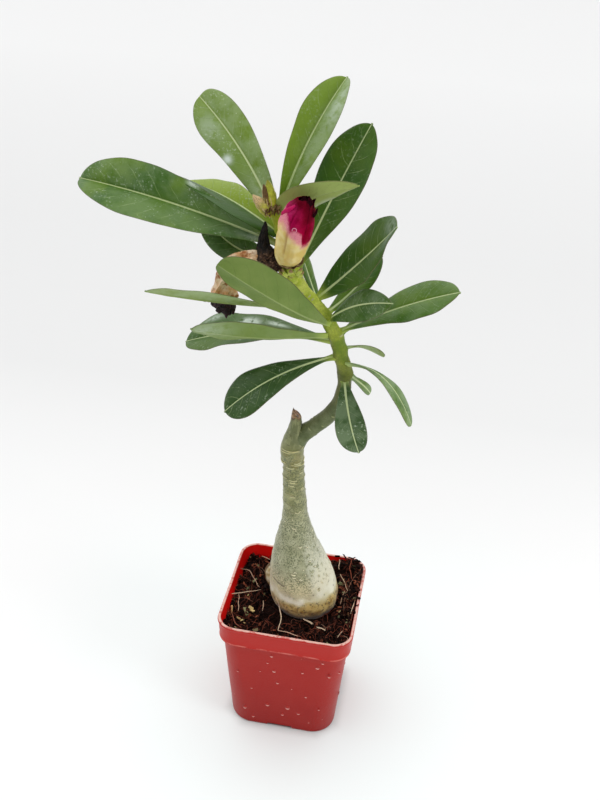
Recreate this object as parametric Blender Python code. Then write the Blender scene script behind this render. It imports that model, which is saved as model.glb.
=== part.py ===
"""Potted desert rose: a young grafted caudex plant in a small square plastic pot.

The pot stands on z = 0 with its middle at the origin, X to the right and +Y to the back.
Sizes are in millimetres in the tables below and become metres when a mesh is made.
Compass angles are seen from above: 0 is towards the front (-Y), 90 is right (+X), 180 is the back.
"""
import bpy
import numpy as np
from math import cos, sin, pi, radians, log

MM = 0.001
GAP = 0.3                       # clear space between neighbouring solids

# Pot: a tapered square with round corners, a straight band at the rim and four feet
POT_HEIGHT = 72.5
RIM_WIDTH = 70.0
RIM_CORNER = 10.0
BAND_HEIGHT = 12.0
BAND_BOTTOM_WIDTH = 68.4
BODY_TOP_WIDTH = 65.4
BASE_WIDTH = 56.7
BASE_CORNER = 12.5
WALL = 1.1
FLOOR = 1.4
CHANNEL_WIDTH = 13.0            # shallow arch under the middle of each side
CHANNEL_HEIGHT = 1.3
CHANNEL_LENGTH = 12.0
DRAIN_SLOT = (8.0, 3.4)         # drain hole in the floor over each channel
CORNER_STEPS = 6                # facets in each rounded corner

# Potting mix: its level beside the plant, and how it heaps up to the right and back
SOIL_LEVEL = 64.8
SOIL_HEAP_RIGHT = 5.2
SOIL_HEAP_CORNER = 5.5
SOIL_LUMP = 0.9
SOIL_RINGS = 13
SOIL_SIDES = 64
SOIL_SEED = 13
SOIL_WAVES = 26                 # waves that add up to the lumps
SOIL_STEEPNESS = 3.0            # how soon, away from the caudex, the heap takes its full height
PIT_HEIGHTS = (37.5, 45.5, 53.5, 59.5)  # the pit in which the caudex's pointed foot stands

# Caudex, neck and pruned stub: height, middle in x, radius
CAUDEX_Y = 4.0
CAUDEX = [
    (40.0, 4.0, 1.6), (46.0, 4.1, 4.6), (54.0, 4.5, 9.2), (60.0, 5.0, 13.0), (64.0, 5.1, 15.3),
    (67.0, 4.9, 16.9), (70.0, 4.7, 17.8), (74.0, 4.5, 18.1), (81.0, 3.6, 17.3), (88.5, 2.0, 15.7),
    (95.5, 0.6, 13.8), (102.5, -0.6, 11.5), (110.5, -1.6, 9.1), (118.0, -2.2, 7.1), (125.0, -2.8, 6.2),
    (131.0, -3.2, 5.8), (138.5, -3.8, 5.5), (144.5, -4.2, 5.3), (150.5, -4.6, 5.1), (155.0, -5.3, 5.4),
    (159.0, -5.7, 5.9), (162.0, -5.7, 5.7), (165.5, -5.5, 4.9), (170.0, -5.1, 3.6), (174.0, -4.7, 2.9),
    (178.0, -4.4, 2.4), (180.6, -4.1, 2.1)]
CAUDEX_SIDES = 24
STUB_TIP_RISE = 1.9             # the pruning cut slopes up to the left by this much
SIDE_ROOT = [(-10.5, 5.0, 85.5, 1.3), (-14.0, 5.6, 82.5, 1.8), (-15.6, 6.0, 77.8, 2.0),
             (-14.6, 5.6, 74.0, 1.7), (-12.0, 5.2, 72.0, 1.2)]

# Branch and leafy shoot: x, y, height, radius of its middle line
SHOOT = [
    (-5.0, 3.5, 160.0, 4.6), (-2.5, 3.0, 167.0, 4.8), (4.5, 2.5, 175.0, 3.9), (11.3, 2.0, 183.0, 3.8),
    (15.8, 1.5, 191.5, 3.5), (17.6, 1.0, 199.0, 3.5), (17.7, 1.0, 205.0, 3.5), (16.9, 1.0, 211.5, 3.6),
    (15.0, 1.0, 218.0, 3.4), (12.5, 0.5, 226.5, 3.3), (8.0, 0.0, 235.0, 3.2), (3.2, 0.0, 242.5, 3.1),
    (-1.5, 0.0, 248.5, 3.0), (-7.3, 0.0, 257.5, 2.8), (-13.5, 1.0, 269.5, 2.6), (-17.0, 1.8, 279.0, 2.4),
    (-18.4, 1.3, 282.4, 2.3), (-18.9, 1.0, 284.2, 1.6)]
SHOOT_SIDES = 12
SHOOT_RINGS = 44
BLOOM_STALK = [(-5.0, -0.5, 252.5, 2.2), (-7.2, -4.6, 256.4, 2.1), (-8.5, -8.6, 259.6, 1.9), (-8.7, -9.2, 261.2, 1.8)]
DRIED_STALK = [(-7.0, -1.5, 255.5, 1.9), (-11.5, -6.0, 260.0, 1.8), (-14.4, -8.0, 262.0, 1.7)]

# Leaves: name, height of the joint on the shoot, compass angle, rise, length, width,
# widest point (share of the length), tip (small is round), bow up, bow sideways,
# roll about the midrib, extra twist from root to tip, fold of each half along the midrib
LEAVES = [
    ("leaf_01_long_left", 266.5, -97, 9, 100, 27.5, 0.68, 0.52, 4.5, -4.0, -56, 36, 24),
    ("leaf_02_upper_left", 273.0, -119, 45, 68, 20.5, 0.76, 0.35, 4.0, 0.5, -60, -8, 7),
    ("leaf_03_top", 278.5, 139, 58, 65, 19.0, 0.70, 0.49, 5.5, 2.0, 34, -42, 26),
    ("leaf_04_upper_right", 254.5, 128, 63, 71, 23.0, 0.69, 0.56, -1.5, -3.5, 35, -8, 5),
    ("leaf_05_over_bloom", 280.0, 79, 28, 40, 15.0, 0.60, 0.54, 3.0, 5.0, -52, 40, 9),
    ("leaf_06_behind_long_left", 270.0, -119, 9, 62, 20.0, 0.69, 0.65, 6.0, -3.0, -1, 34, 19),
    ("leaf_07_under_long_left", 262.0, -103, 17, 44, 15.0, 0.66, 0.55, -7.0, -2.0, -47, -2, 5),
    ("leaf_08_front_left", 232.5, -43, 35, 73, 21.5, 0.75, 0.55, -1.5, -13.0, 53, -5, 22),
    ("leaf_09_edge_on_left", 236.5, -66, 12, 82, 21.0, 0.66, 0.57, 0.5, -2.5, 33, 5, 9),
    ("leaf_10_mid_left_front", 227.5, -63, 8, 67, 19.5, 0.68, 0.55, -3.0, 0.5, 47, 11, 13),
    ("leaf_11_mid_left_back", 223.0, -104, -14, 81, 24.0, 0.66, 0.55, 5.5, -2.0, -14, -40, 16),
    ("leaf_12_lower_left", 215.5, -74, -28, 60, 22.0, 0.73, 0.55, 7.5, -1.0, -26, 0, 0),
    ("leaf_13_hanging", 206.5, 39, -60, 36, 13.5, 0.66, 0.57, 5.0, 4.0, 38, -1, 10),
    ("leaf_14_narrow_right", 212.5, 58, -21, 43, 12.0, 0.67, 0.54, 11.0, 1.5, -19, 9, 0),
    ("leaf_15_small_arched", 219.5, 112, -13, 22, 6.5, 0.66, 0.58, 2.5, -1.5, -45, -4, 7),
    ("leaf_16_tiny", 208.0, 105, -46, 16, 5.0, 0.66, 0.58, 2.0, 3.0, 54, 11, 10),
    ("leaf_17_right", 227.5, 85, 29, 60, 19.5, 0.69, 0.61, 0.0, -5.5, 29, -2, 4),
    ("leaf_18_small_right", 233.5, 65, 31, 36, 13.0, 0.61, 0.65, 3.5, 1.5, 53, 34, 0),
    ("leaf_19_right_raised", 242.5, 67, 50, 56, 23.0, 0.67, 0.46, 0.0, -6.5, 55, -45, 8),
    ("leaf_20_behind_right", 236.5, 133, 37, 37, 11.0, 0.65, 0.59, -3.0, -1.0, 13, -6, 7),
    ("leaf_21_behind_shoot", 240.0, -146, 38, 36, 9.5, 0.64, 0.56, -2.0, 1.0, 38, 14, 6),
    ("leaf_22_small_back", 225.5, 141, 13, 22, 6.5, 0.66, 0.58, -1.0, 3.0, -7, 1, 8)]
BLADE = 0.75                    # thickness of a blade
PETIOLE_WIDTH = 2.2
PETIOLE_THICKNESS = 1.7
PETIOLE_LEAN = 0.85             # extra room, in thicknesses, for a petiole that leaves along the shoot
PETIOLE_FADE = 0.25             # share of the length over which the petiole thins out into the blade
MIDRIB_SWELL = 0.35             # the blade is thicker by this share along its midrib
LEAF_RINGS = 13
SMALL_LEAF = 25.0               # a leaf shorter than this takes fewer rings
SMALL_LEAF_RINGS = 8
LEAF_COLUMNS = (-1.0, -0.55, 0.0, 0.55, 1.0)

# Blooms: middle line and radius; the fading one stands, the withered one droops to the left
FADING_BLOOM = [
    (-8.6, -9.5, 263.3, 3.0), (-8.7, -10.1, 266.0, 5.2), (-8.3, -10.8, 270.0, 6.5), (-7.6, -11.4, 275.0, 7.2),
    (-6.6, -12.1, 280.5, 7.3), (-5.4, -12.9, 286.0, 6.7), (-4.2, -13.7, 290.5, 5.4), (-3.2, -14.3, 294.1, 3.2),
    (-2.6, -14.7, 295.7, 1.6)]
PETALS = 5
PETAL_RELIEF = 0.07             # depth of the folds between the furled petals
PETAL_TWIST = 70.0              # the furled petals wind by this much from foot to tip
# Calyx of the fading bloom from its foot up and back down inside: radius, rise, share of the points
CALYX_DROP = 1.6                # its foot lies this far below the bloom
CALYX_POINT_RISE = 1.4          # how much of a point goes up instead of out
CALYX = [(1.9, 0.0, 0.0), (3.8, 0.5, 0.0), (5.1, 1.9, 1.2), (4.5, 2.1, 1.2), (3.2, 1.2, 0.0), (1.6, 1.2, 0.0)]
WITHERED_BLOOM = [
    (-24.4, -8.0, 265.2, 1.9), (-26.4, -7.8, 264.4, 2.4), (-29.5, -7.5, 262.9, 2.9), (-32.7, -7.0, 261.0, 3.4),
    (-35.1, -6.2, 257.4, 3.9), (-36.6, -5.2, 252.7, 4.4), (-37.7, -4.2, 247.9, 5.2), (-38.7, -3.8, 243.2, 6.0),
    (-39.0, -4.2, 239.7, 5.8)]
WITHERED_TIPS = [(-41.4, -4.4, 240.3, 3.0), (-43.2, -4.8, 237.8, 1.9), (-44.1, -5.0, 236.6, 0.7)]
WITHERED_TIPS_TORN = [(-38.3, -4.4, 240.2, 4.4), (-36.5, -5.0, 236.2, 3.2), (-35.5, -5.2, 233.4, 1.0)]
DRIED_FLOWER = [
    (-15.4, -8.6, 262.7, 2.2), (-17.6, -8.9, 263.7, 3.3), (-20.0, -8.6, 264.9, 3.7), (-21.4, -8.2, 268.4, 3.2),
    (-21.6, -8.0, 272.2, 2.7), (-21.4, -7.8, 276.0, 2.0), (-20.9, -7.6, 279.0, 1.1), (-20.8, -7.6, 281.0, 0.5)]
BUDS = [
    ("bud_tan_pink", [(-21.2, -1.1, 282.2, 1.2), (-24.2, -2.6, 285.0, 1.8), (-25.8, -3.0, 287.4, 1.3),
                      (-27.0, -3.2, 289.2, 0.5)]),
    ("bud_brown", [(-20.6, -1.1, 285.1, 0.8), (-22.2, -1.9, 288.6, 1.5), (-23.0, -2.0, 291.5, 1.0),
                   (-23.4, -2.0, 293.8, 0.4)]),
    ("bud_green", [(-18.9, 0.2, 284.8, 1.1), (-18.5, -0.7, 289.0, 1.8), (-19.8, -0.8, 292.2, 1.2),
                   (-21.0, -0.8, 294.8, 0.4)])]

# Colours as seen in daylight, and roughness
FINISHES = {
    "pot_plastic": ((0.38, 0.030, 0.030), 0.42),
    "potting_mix": ((0.030, 0.012, 0.008), 0.95),
    "bark": ((0.30, 0.32, 0.22), 0.70),
    "leaf_green": ((0.050, 0.130, 0.025), 0.38),
    "petal": ((0.46, 0.080, 0.120), 0.55),
    "withered_petal": ((0.42, 0.200, 0.090), 0.80),
    "dried": ((0.020, 0.012, 0.009), 0.90),
    "calyx_brown": ((0.120, 0.060, 0.025), 0.80),
    "bud_scale": ((0.230, 0.200, 0.040), 0.60)}


def finish(name):
    """One Principled material for each kind of surface."""
    if name in bpy.data.materials:
        return bpy.data.materials[name]
    colour, roughness = FINISHES[name]
    material = bpy.data.materials.new(name)
    material.use_nodes = True
    shader = material.node_tree.nodes["Principled BSDF"]
    shader.inputs["Base Color"].default_value = (*colour, 1.0)
    shader.inputs["Roughness"].default_value = roughness
    return material


def add_object(name, points, faces, material, smooth_angle=40):
    """Make a mesh object from points in millimetres."""
    mesh = bpy.data.meshes.new(name)
    mesh.from_pydata((np.asarray(points, float) * MM).tolist(), [], faces)
    mesh.update()
    mesh.shade_smooth()
    mesh.set_sharp_from_angle(angle=radians(smooth_angle))
    mesh.materials.append(finish(material))
    thing = bpy.data.objects.new(name, mesh)
    bpy.context.collection.objects.link(thing)
    return thing


def loft_faces(rings, sides):
    """Faces of a closed body made of equal rings, each split into triangles the same way."""
    faces = []
    for ring in range(rings - 1):
        for side in range(sides):
            a = ring * sides + side
            b = ring * sides + (side + 1) % sides
            faces += [(a, b, b + sides), (a, b + sides, a + sides)]
    faces.append(tuple(reversed(range(sides))))
    faces.append(tuple(range((rings - 1) * sides, rings * sides)))
    return faces


def spline(stations, count):
    """A smooth line (Catmull-Rom) through the stations, every column alike."""
    points = np.asarray(stations, float)
    padded = np.vstack([2 * points[0] - points[1], points, 2 * points[-1] - points[-2]])
    where = np.linspace(0, len(points) - 1, count)
    span = np.minimum(where.astype(int), len(points) - 2)
    u = (where - span)[:, None]
    p0, p1, p2, p3 = (padded[span + k] for k in range(4))
    return 0.5 * (2 * p1 + (p2 - p0) * u + (2 * p0 - 5 * p1 + 4 * p2 - p3) * u**2
                  + (3 * p1 - p0 - 3 * p2 + p3) * u**3)


def unit(vectors):
    """Vectors of length one."""
    return vectors / np.linalg.norm(vectors, axis=-1, keepdims=True)


def tube(stations, count, sides, relief=None):
    """Rings round a smooth middle line; relief(angle, share) may swell the radius."""
    line = spline(stations, count)
    middle, radius = line[:, :3], line[:, 3]
    along = unit(np.gradient(middle, axis=0))
    across = np.empty_like(along)
    across[0] = unit(np.cross(along[0], (0.0, 1.0, 0.1)))
    for k in range(1, count):
        across[k] = unit(across[k - 1] - along[k] * (across[k - 1] @ along[k]))
    other = np.cross(along, across)
    angle = np.arange(sides) * 2 * pi / sides
    share = np.linspace(0, 1, count)[:, None]
    swell = 1.0 if relief is None else 1.0 + relief(angle[None, :], share)
    reach = (radius[:, None] * swell)[..., None]
    ring = np.cos(angle)[None, :, None] * across[:, None] + np.sin(angle)[None, :, None] * other[:, None]
    return (middle[:, None] + reach * ring).reshape(-1, 3), loft_faces(count, sides)


def join_bodies(name, bodies, material):
    """One closed body: the first with all others united to it."""
    trunk = add_object(name, *bodies[0], material)
    group = bpy.data.collections.new(name + "_pieces")
    pieces = [add_object(f"{name}_{k}", *body, material) for k, body in enumerate(bodies[1:])]
    for piece in pieces:
        group.objects.link(piece)
    union = trunk.modifiers.new("union", "BOOLEAN")
    union.operation = "UNION"
    union.operand_type = "COLLECTION"
    union.collection = group
    union.solver = "EXACT"
    depsgraph = bpy.context.evaluated_depsgraph_get()
    joined = bpy.data.meshes.new_from_object(trunk.evaluated_get(depsgraph))
    trunk.modifiers.clear()
    trunk.data = joined
    for piece in pieces:
        bpy.data.objects.remove(piece)
    bpy.data.collections.remove(group)
    return trunk


def rounded_square(width, corner, height):
    """One ring of points round a square with round corners, starting at the front right."""
    half = width / 2 - corner
    turns = np.linspace(0, pi / 2, CORNER_STEPS + 1)
    ring = []
    for corner_x, corner_y, start in ((half, -half, -pi / 2), (half, half, 0), (-half, half, pi / 2),
                                      (-half, -half, pi)):
        ring += [(corner_x + corner * cos(start + t), corner_y + corner * sin(start + t), height) for t in turns]
    return ring


def pot_inside_width(height):
    """Clear width inside the pot at a height."""
    shoulder = POT_HEIGHT - BAND_HEIGHT
    outside = np.interp(height, (0, shoulder, POT_HEIGHT), (BASE_WIDTH, BODY_TOP_WIDTH, RIM_WIDTH - 0.4))
    return outside - 2 * WALL


def pot_corner(height):
    """Corner radius of the pot's outside at a height."""
    return np.interp(height, (0, POT_HEIGHT), (BASE_CORNER, RIM_CORNER))


def make_pot():
    """Square pot: outside wall up, over the rolled rim, and down the inside to the floor."""
    shoulder = POT_HEIGHT - BAND_HEIGHT
    outside = [
        (BASE_WIDTH - 2.0, 0.0), (BASE_WIDTH - 0.4, 0.5), (BASE_WIDTH + 0.2, 1.8),
        (BODY_TOP_WIDTH, shoulder - 0.1), (BAND_BOTTOM_WIDTH, shoulder), (RIM_WIDTH - 0.5, POT_HEIGHT - 1.5),
        (RIM_WIDTH + 0.1, POT_HEIGHT - 1.1), (RIM_WIDTH, POT_HEIGHT - 0.3), (RIM_WIDTH - 0.8, POT_HEIGHT)]
    inside = [POT_HEIGHT, POT_HEIGHT - 0.6, shoulder, FLOOR + 1.2, FLOOR]
    rings = [rounded_square(width, pot_corner(height) - 0.2, height) for width, height in outside]
    for height in inside:
        inset = 0.6 if height == FLOOR else 0.0
        width = pot_inside_width(height) - 2 * inset
        rings.append(rounded_square(width, pot_corner(height) - WALL - inset, height))
    sides = len(rings[0])
    pot = add_object("pot", np.array(rings).reshape(-1, 3), loft_faces(len(rings), sides), "pot_plastic", 30)
    for k in range(4):
        turn = k * pi / 2
        reach = BASE_WIDTH / 2 - CHANNEL_LENGTH / 2 + 1.0
        cut_block(pot, turn, reach, (CHANNEL_LENGTH + 2.0, CHANNEL_WIDTH, 2 * CHANNEL_HEIGHT), 0.0)
        slot = BASE_WIDTH / 2 - CHANNEL_LENGTH + DRAIN_SLOT[1] / 2 + 0.8
        cut_block(pot, turn, slot, (DRAIN_SLOT[1], DRAIN_SLOT[0], 4 * FLOOR), FLOOR)
    depsgraph = bpy.context.evaluated_depsgraph_get()
    cut = bpy.data.meshes.new_from_object(pot.evaluated_get(depsgraph))
    cutters = [modifier.object for modifier in pot.modifiers]
    pot.modifiers.clear()
    pot.data = cut
    for cutter in cutters:
        bpy.data.objects.remove(cutter)
    return pot


def cut_block(thing, turn, reach, size, height):
    """Add a Boolean difference with a block that lies at a distance from the middle, turned about Z."""
    x, y, z = (0.5 * side for side in size)
    corners = np.array([(i * x, j * y, k * z) for i in (-1, 1) for j in (-1, 1) for k in (-1, 1)])
    faces = [(0, 1, 3, 2), (4, 6, 7, 5), (0, 4, 5, 1), (2, 3, 7, 6), (0, 2, 6, 4), (1, 5, 7, 3)]
    corners[:, 0] += reach
    turned = corners.copy()
    turned[:, 0] = corners[:, 0] * cos(turn) - corners[:, 1] * sin(turn)
    turned[:, 1] = corners[:, 0] * sin(turn) + corners[:, 1] * cos(turn)
    turned[:, 2] += height
    cutter = add_object(f"{thing.name}_cutter", turned, faces, "pot_plastic")
    modifier = thing.modifiers.new("cut", "BOOLEAN")
    modifier.operation = "DIFFERENCE"
    modifier.solver = "EXACT"
    modifier.object = cutter


def caudex_section(height):
    """Middle in x and radius of the caudex at a height."""
    table = np.array(CAUDEX)
    return np.interp(height, table[:, 0], table[:, 1]), np.interp(height, table[:, 0], table[:, 2])


def caudex_relief(angle, height):
    """The caudex isn't quite round: slow ribs that fade towards the neck."""
    fade = np.clip((130.0 - height) / 50.0, 0.15, 1.0)
    return fade * (0.020 * np.cos(2 * angle + 1.0) + 0.012 * np.cos(5 * angle + 0.5 + 0.03 * height))


def soil_height(x, y):
    """Level of the mix: heaped to the right and to the back right corner, with seeded lumps."""
    half = RIM_WIDTH / 2
    level = SOIL_LEVEL + SOIL_HEAP_RIGHT * np.clip(x / half, 0, 1) ** 1.5
    level = level + SOIL_HEAP_CORNER * np.clip((x + y) / RIM_WIDTH, 0, 1) ** 2
    random = np.random.default_rng(SOIL_SEED)
    for _ in range(SOIL_WAVES):
        kx, ky = random.normal(0, 0.55, 2)
        level = level + 1.4 * SOIL_LUMP / np.sqrt(SOIL_WAVES) * np.sin(kx * x + ky * y + random.uniform(0, 2 * pi))
    return level


def make_soil():
    """Potting mix with a plain pit in which the caudex stands."""
    angle = np.arange(SOIL_SIDES) * 2 * pi / SOIL_SIDES

    def pit_ring(height):
        middle, radius = caudex_section(height)
        reach = radius * 1.035 + GAP
        return middle + reach * np.cos(angle), CAUDEX_Y + reach * np.sin(angle)

    def wall_ring(height):
        corner = pot_corner(height) - WALL - GAP
        half = pot_inside_width(height) / 2 - GAP
        # distance to a rounded square along each ray from the middle, found by halving
        low, high = np.zeros(SOIL_SIDES), np.full(SOIL_SIDES, RIM_WIDTH)
        for _ in range(40):
            test = 0.5 * (low + high)
            over_x = np.maximum(np.abs(test * np.cos(angle)) - (half - corner), 0.0)
            over_y = np.maximum(np.abs(test * np.sin(angle)) - (half - corner), 0.0)
            inside = np.hypot(over_x, over_y) < corner
            low, high = np.where(inside, test, low), np.where(inside, high, test)
        return low * np.cos(angle), low * np.sin(angle)

    rings = []
    for height in PIT_HEIGHTS:
        x, y = pit_ring(height + 0.5)
        rings.append(np.stack([x, y, np.full(SOIL_SIDES, height)], 1))
    inner = pit_ring(SOIL_LEVEL)
    outer = wall_ring(soil_height(*wall_ring(SOIL_LEVEL)))
    for k in range(SOIL_RINGS):
        share = k / (SOIL_RINGS - 1)
        x = inner[0] * (1 - share) + outer[0] * share
        y = inner[1] * (1 - share) + outer[1] * share
        heap = (soil_height(x, y) - SOIL_LEVEL) * min(1.0, SOIL_STEEPNESS * share)
        rings.append(np.stack([x, y, SOIL_LEVEL + heap], 1))
    for height in (POT_HEIGHT - BAND_HEIGHT, FLOOR + 1.6, FLOOR + GAP):
        x, y = wall_ring(height)
        shrink = 0.97 if height == FLOOR + GAP else 1.0
        rings.append(np.stack([x * shrink, y * shrink, np.full(SOIL_SIDES, height)], 1))
    rings.reverse()
    points = np.array(rings).reshape(-1, 3)
    return add_object("potting_mix", points, loft_faces(len(rings), SOIL_SIDES), "potting_mix", 30)


def make_plant():
    """Caudex, neck, pruned stub, side root, branch and shoot, grown as one piece."""
    angle = np.arange(CAUDEX_SIDES) * 2 * pi / CAUDEX_SIDES
    rings = []
    for height, middle, radius in CAUDEX:
        reach = radius * (1.0 + caudex_relief(angle, height))
        tilt = -STUB_TIP_RISE * np.cos(angle) if height == CAUDEX[-1][0] else 0.0
        z = np.full(CAUDEX_SIDES, height) + tilt
        rings.append(np.stack([middle + reach * np.cos(angle), CAUDEX_Y + reach * np.sin(angle), z], 1))
    caudex = (np.array(rings).reshape(-1, 3), loft_faces(len(rings), CAUDEX_SIDES))
    shoot = tube(SHOOT, SHOOT_RINGS, SHOOT_SIDES)
    side_root = tube(SIDE_ROOT, 12, 8)
    stalks = [tube(stalk, 5, 8) for stalk in (BLOOM_STALK, DRIED_STALK)]
    return join_bodies("plant_stem", [caudex, shoot, side_root, *stalks], "bark")


def shoot_line():
    """The shoot's middle line and radius, finely sampled, from the fork upwards."""
    return spline(SHOOT, 600)


def leaf_half_width(t, width, widest, tip):
    """Half width along an obovate blade: a wedge to the widest point and a round tip."""
    skew = log(0.5) / log(widest)
    blade = 0.5 * width * np.maximum(np.sin(pi * t**skew), 0.0) ** tip
    petiole = 0.5 * PETIOLE_WIDTH * np.sqrt(np.clip(1.0 - t, 0.06, 1.0))
    return np.maximum(blade, petiole)


def make_leaf(name, joint, compass, rise, length, width, widest, tip, lift, sweep, roll, twist, fold):
    """One obovate leaf from its petiole to its tip, bowed, rolled and folded along its midrib."""
    line = shoot_line()
    root = np.array([np.interp(joint, line[:, 2], line[:, k]) for k in range(3)])
    flat = cos(radians(rise))
    chord = length * np.array([sin(radians(compass)) * flat, -cos(radians(compass)) * flat, sin(radians(rise))])
    forward = unit(chord)
    up = unit(np.array([0.0, 0.0, 1.0]) - forward * forward[2])
    side = np.cross(forward, up)

    def middle(t):
        bow = 4.0 * t * (1.0 - t)
        return root + t[:, None] * chord + bow[:, None] * (lift * up + sweep * side)

    fine = np.linspace(0.0, 0.4, 400)
    path = middle(fine)
    distance = np.linalg.norm(path[:, None] - line[None, :, :3], axis=2)
    nearest = distance.argmin(axis=1)
    stem_way = unit(np.gradient(line[:, :3], axis=0))[nearest]
    lean = np.abs((unit(np.gradient(path, axis=0)) * stem_way).sum(axis=1))
    clear = distance.min(axis=1) - line[nearest, 3] - 1.3 * GAP - PETIOLE_LEAN * PETIOLE_THICKNESS * lean
    start = fine[np.argmax(clear > 0.0)]

    count = SMALL_LEAF_RINGS if length < SMALL_LEAF else LEAF_RINGS
    share = np.linspace(0.0, 1.0, count)
    t = start + (1.0 - start) * (1.0 - (1.0 - share) ** 1.25)
    centre = middle(t)
    along = unit(np.gradient(centre, t, axis=0))
    normal = unit(up - along * (along @ up)[:, None])
    across = np.cross(along, normal)
    turn = np.radians(roll + twist * (t - 0.5))[:, None]
    face = normal * np.cos(turn) + across * np.sin(turn)
    edge = across * np.cos(turn) - normal * np.sin(turn)
    half = leaf_half_width(t, width, widest, tip)
    thick = BLADE + (PETIOLE_THICKNESS - BLADE) * np.clip(1.0 - (t - start) / PETIOLE_FADE, 0.0, 1.0) ** 1.5
    tilt = radians(fold)

    upper, lower = [], []
    for column in LEAF_COLUMNS:
        sheet = centre + (half * column * cos(tilt))[:, None] * edge
        sheet = sheet + (half * abs(column) * sin(tilt))[:, None] * face
        swell = 1.0 + MIDRIB_SWELL * (1.0 - abs(column))
        upper.append(sheet + (0.5 * thick * swell)[:, None] * face)
        lower.append(sheet - (0.5 * thick * swell)[:, None] * face)
    ring = np.stack(upper + lower[::-1], axis=1)
    return add_object(name, ring.reshape(-1, 3), leaf_faces(count), "leaf_green", 60)


def leaf_faces(count):
    """Faces of a leaf: both faces of the blade are split into triangles along the same diagonals."""
    columns = len(LEAF_COLUMNS)
    sides = 2 * columns
    faces = []
    for ring in range(count - 1):
        for k in range(sides):
            a, b = ring * sides + k, ring * sides + (k + 1) % sides
            c, d = b + sides, a + sides
            if k < columns:
                faces += [(a, b, c), (a, c, d)]
            else:
                faces += [(a, b, d), (b, c, d)]
    faces.append(tuple(reversed(range(sides))))
    faces.append(tuple(range((count - 1) * sides, count * sides)))
    return faces


def furled(angle, share):
    """Relief of furled petals: lobes that wind round the bloom and fade at its foot."""
    fade = np.clip(share * 3.0, 0.0, 1.0)
    return PETAL_RELIEF * fade * np.cos(PETALS * angle + radians(PETAL_TWIST) * PETALS * share)


def crumpled(angle, share):
    """Relief of a dried, creased skin."""
    return 0.12 * np.cos(3 * angle + 7.0 * share) + 0.07 * np.cos(5 * angle - 11.0 * share + 1.0)


def make_calyx():
    """A dried cup with five points that hugs the foot of the fading bloom."""
    foot = np.array(FADING_BLOOM[0][:3])
    way = unit(np.array(FADING_BLOOM[2][:3]) - foot)
    across = unit(np.cross(way, (0.0, 1.0, 0.0)))
    other = np.cross(way, across)
    sides = 4 * PETALS
    angle = np.arange(sides) * 2 * pi / sides
    point = 0.5 + 0.5 * np.cos(PETALS * angle)
    bottom = foot - way * CALYX_DROP
    rings = []
    for radius, rise, tip in CALYX:
        reach = (radius + tip * point)[:, None]
        ring = bottom + reach * (np.cos(angle)[:, None] * across + np.sin(angle)[:, None] * other)
        rings.append(ring + way * (rise + CALYX_POINT_RISE * tip * point)[:, None])
    return add_object("bloom_calyx", np.array(rings).reshape(-1, 3), loft_faces(len(rings), sides), "calyx_brown")


def make_blooms():
    """The fading bloom with its calyx, the withered bloom, the dried flower and the tip buds."""
    add_object("fading_bloom", *tube(FADING_BLOOM, 15, 20, furled), "petal", 60)
    make_calyx()
    torn = [tube(tips, 5, 8, crumpled) for tips in (WITHERED_TIPS, WITHERED_TIPS_TORN)]
    join_bodies("withered_bloom", [tube(WITHERED_BLOOM, 14, 12, crumpled), *torn], "withered_petal")
    add_object("dried_flower", *tube(DRIED_FLOWER, 16, 10, crumpled), "dried", 60)
    for name, stations in BUDS:
        add_object(name, *tube(stations, 8, 8), "bud_scale", 60)


def main():
    """Clear the file and build every piece."""
    for thing in list(bpy.data.objects):
        bpy.data.objects.remove(thing, do_unlink=True)
    make_pot()
    make_soil()
    make_plant()
    for leaf in LEAVES:
        make_leaf(*leaf)
    make_blooms()


main()
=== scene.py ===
# %% [markdown]
# # A potted desert rose
# The plant is a young desert rose: a swollen grey-green stem base (the caudex) in a square red pot, a
# pruned stub, and a leafy shoot with a fading bloom. The solids that carry size and weight are already
# packed. This lesson dresses them: each visible piece is a surface worked out with numpy, as a function
# of two parameters or as a profile carried along a path, in millimetres, and put into a mesh.

# %% Load the imported solids
import math

import bpy
import numpy as np
from mathutils import Matrix


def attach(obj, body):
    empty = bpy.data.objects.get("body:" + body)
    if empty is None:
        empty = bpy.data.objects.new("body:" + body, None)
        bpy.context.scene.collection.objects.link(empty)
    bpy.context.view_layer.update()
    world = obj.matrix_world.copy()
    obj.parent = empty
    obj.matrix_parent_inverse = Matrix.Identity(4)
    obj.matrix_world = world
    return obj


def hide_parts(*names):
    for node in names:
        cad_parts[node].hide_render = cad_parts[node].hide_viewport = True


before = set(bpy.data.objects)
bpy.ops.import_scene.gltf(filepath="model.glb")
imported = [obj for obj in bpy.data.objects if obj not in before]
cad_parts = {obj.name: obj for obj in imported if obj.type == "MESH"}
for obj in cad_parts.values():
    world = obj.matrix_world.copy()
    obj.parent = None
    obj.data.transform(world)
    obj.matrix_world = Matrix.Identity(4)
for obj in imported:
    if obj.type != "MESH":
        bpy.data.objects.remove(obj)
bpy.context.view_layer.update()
add_to_scene = bpy.context.scene.collection.objects.link
MM = 0.001                      # metres in a millimetre
TURN = 2 * math.pi              # a whole turn
print("solids loaded:", len(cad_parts))

# %% [markdown]
# ## Small tools
# Nearly every piece here is a grid of points: rows along it and columns round or across it. The first
# helpers turn such a grid into faces and an object, and the others give smooth lines and seeded relief.


# %% From grids of points to objects
def grid_faces(rows, columns, wrap=False, first=0):
    """Four-sided faces of a grid of points; wrap joins the last column to the first."""
    row = np.arange(rows - 1)[:, None] * columns + first
    column = np.arange(columns if wrap else columns - 1)[None, :]
    beside = (column + 1) % columns
    corners = [row + column, row + beside, row + columns + beside, row + columns + column]
    return np.stack(corners, -1).reshape(-1, 4).tolist()


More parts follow.
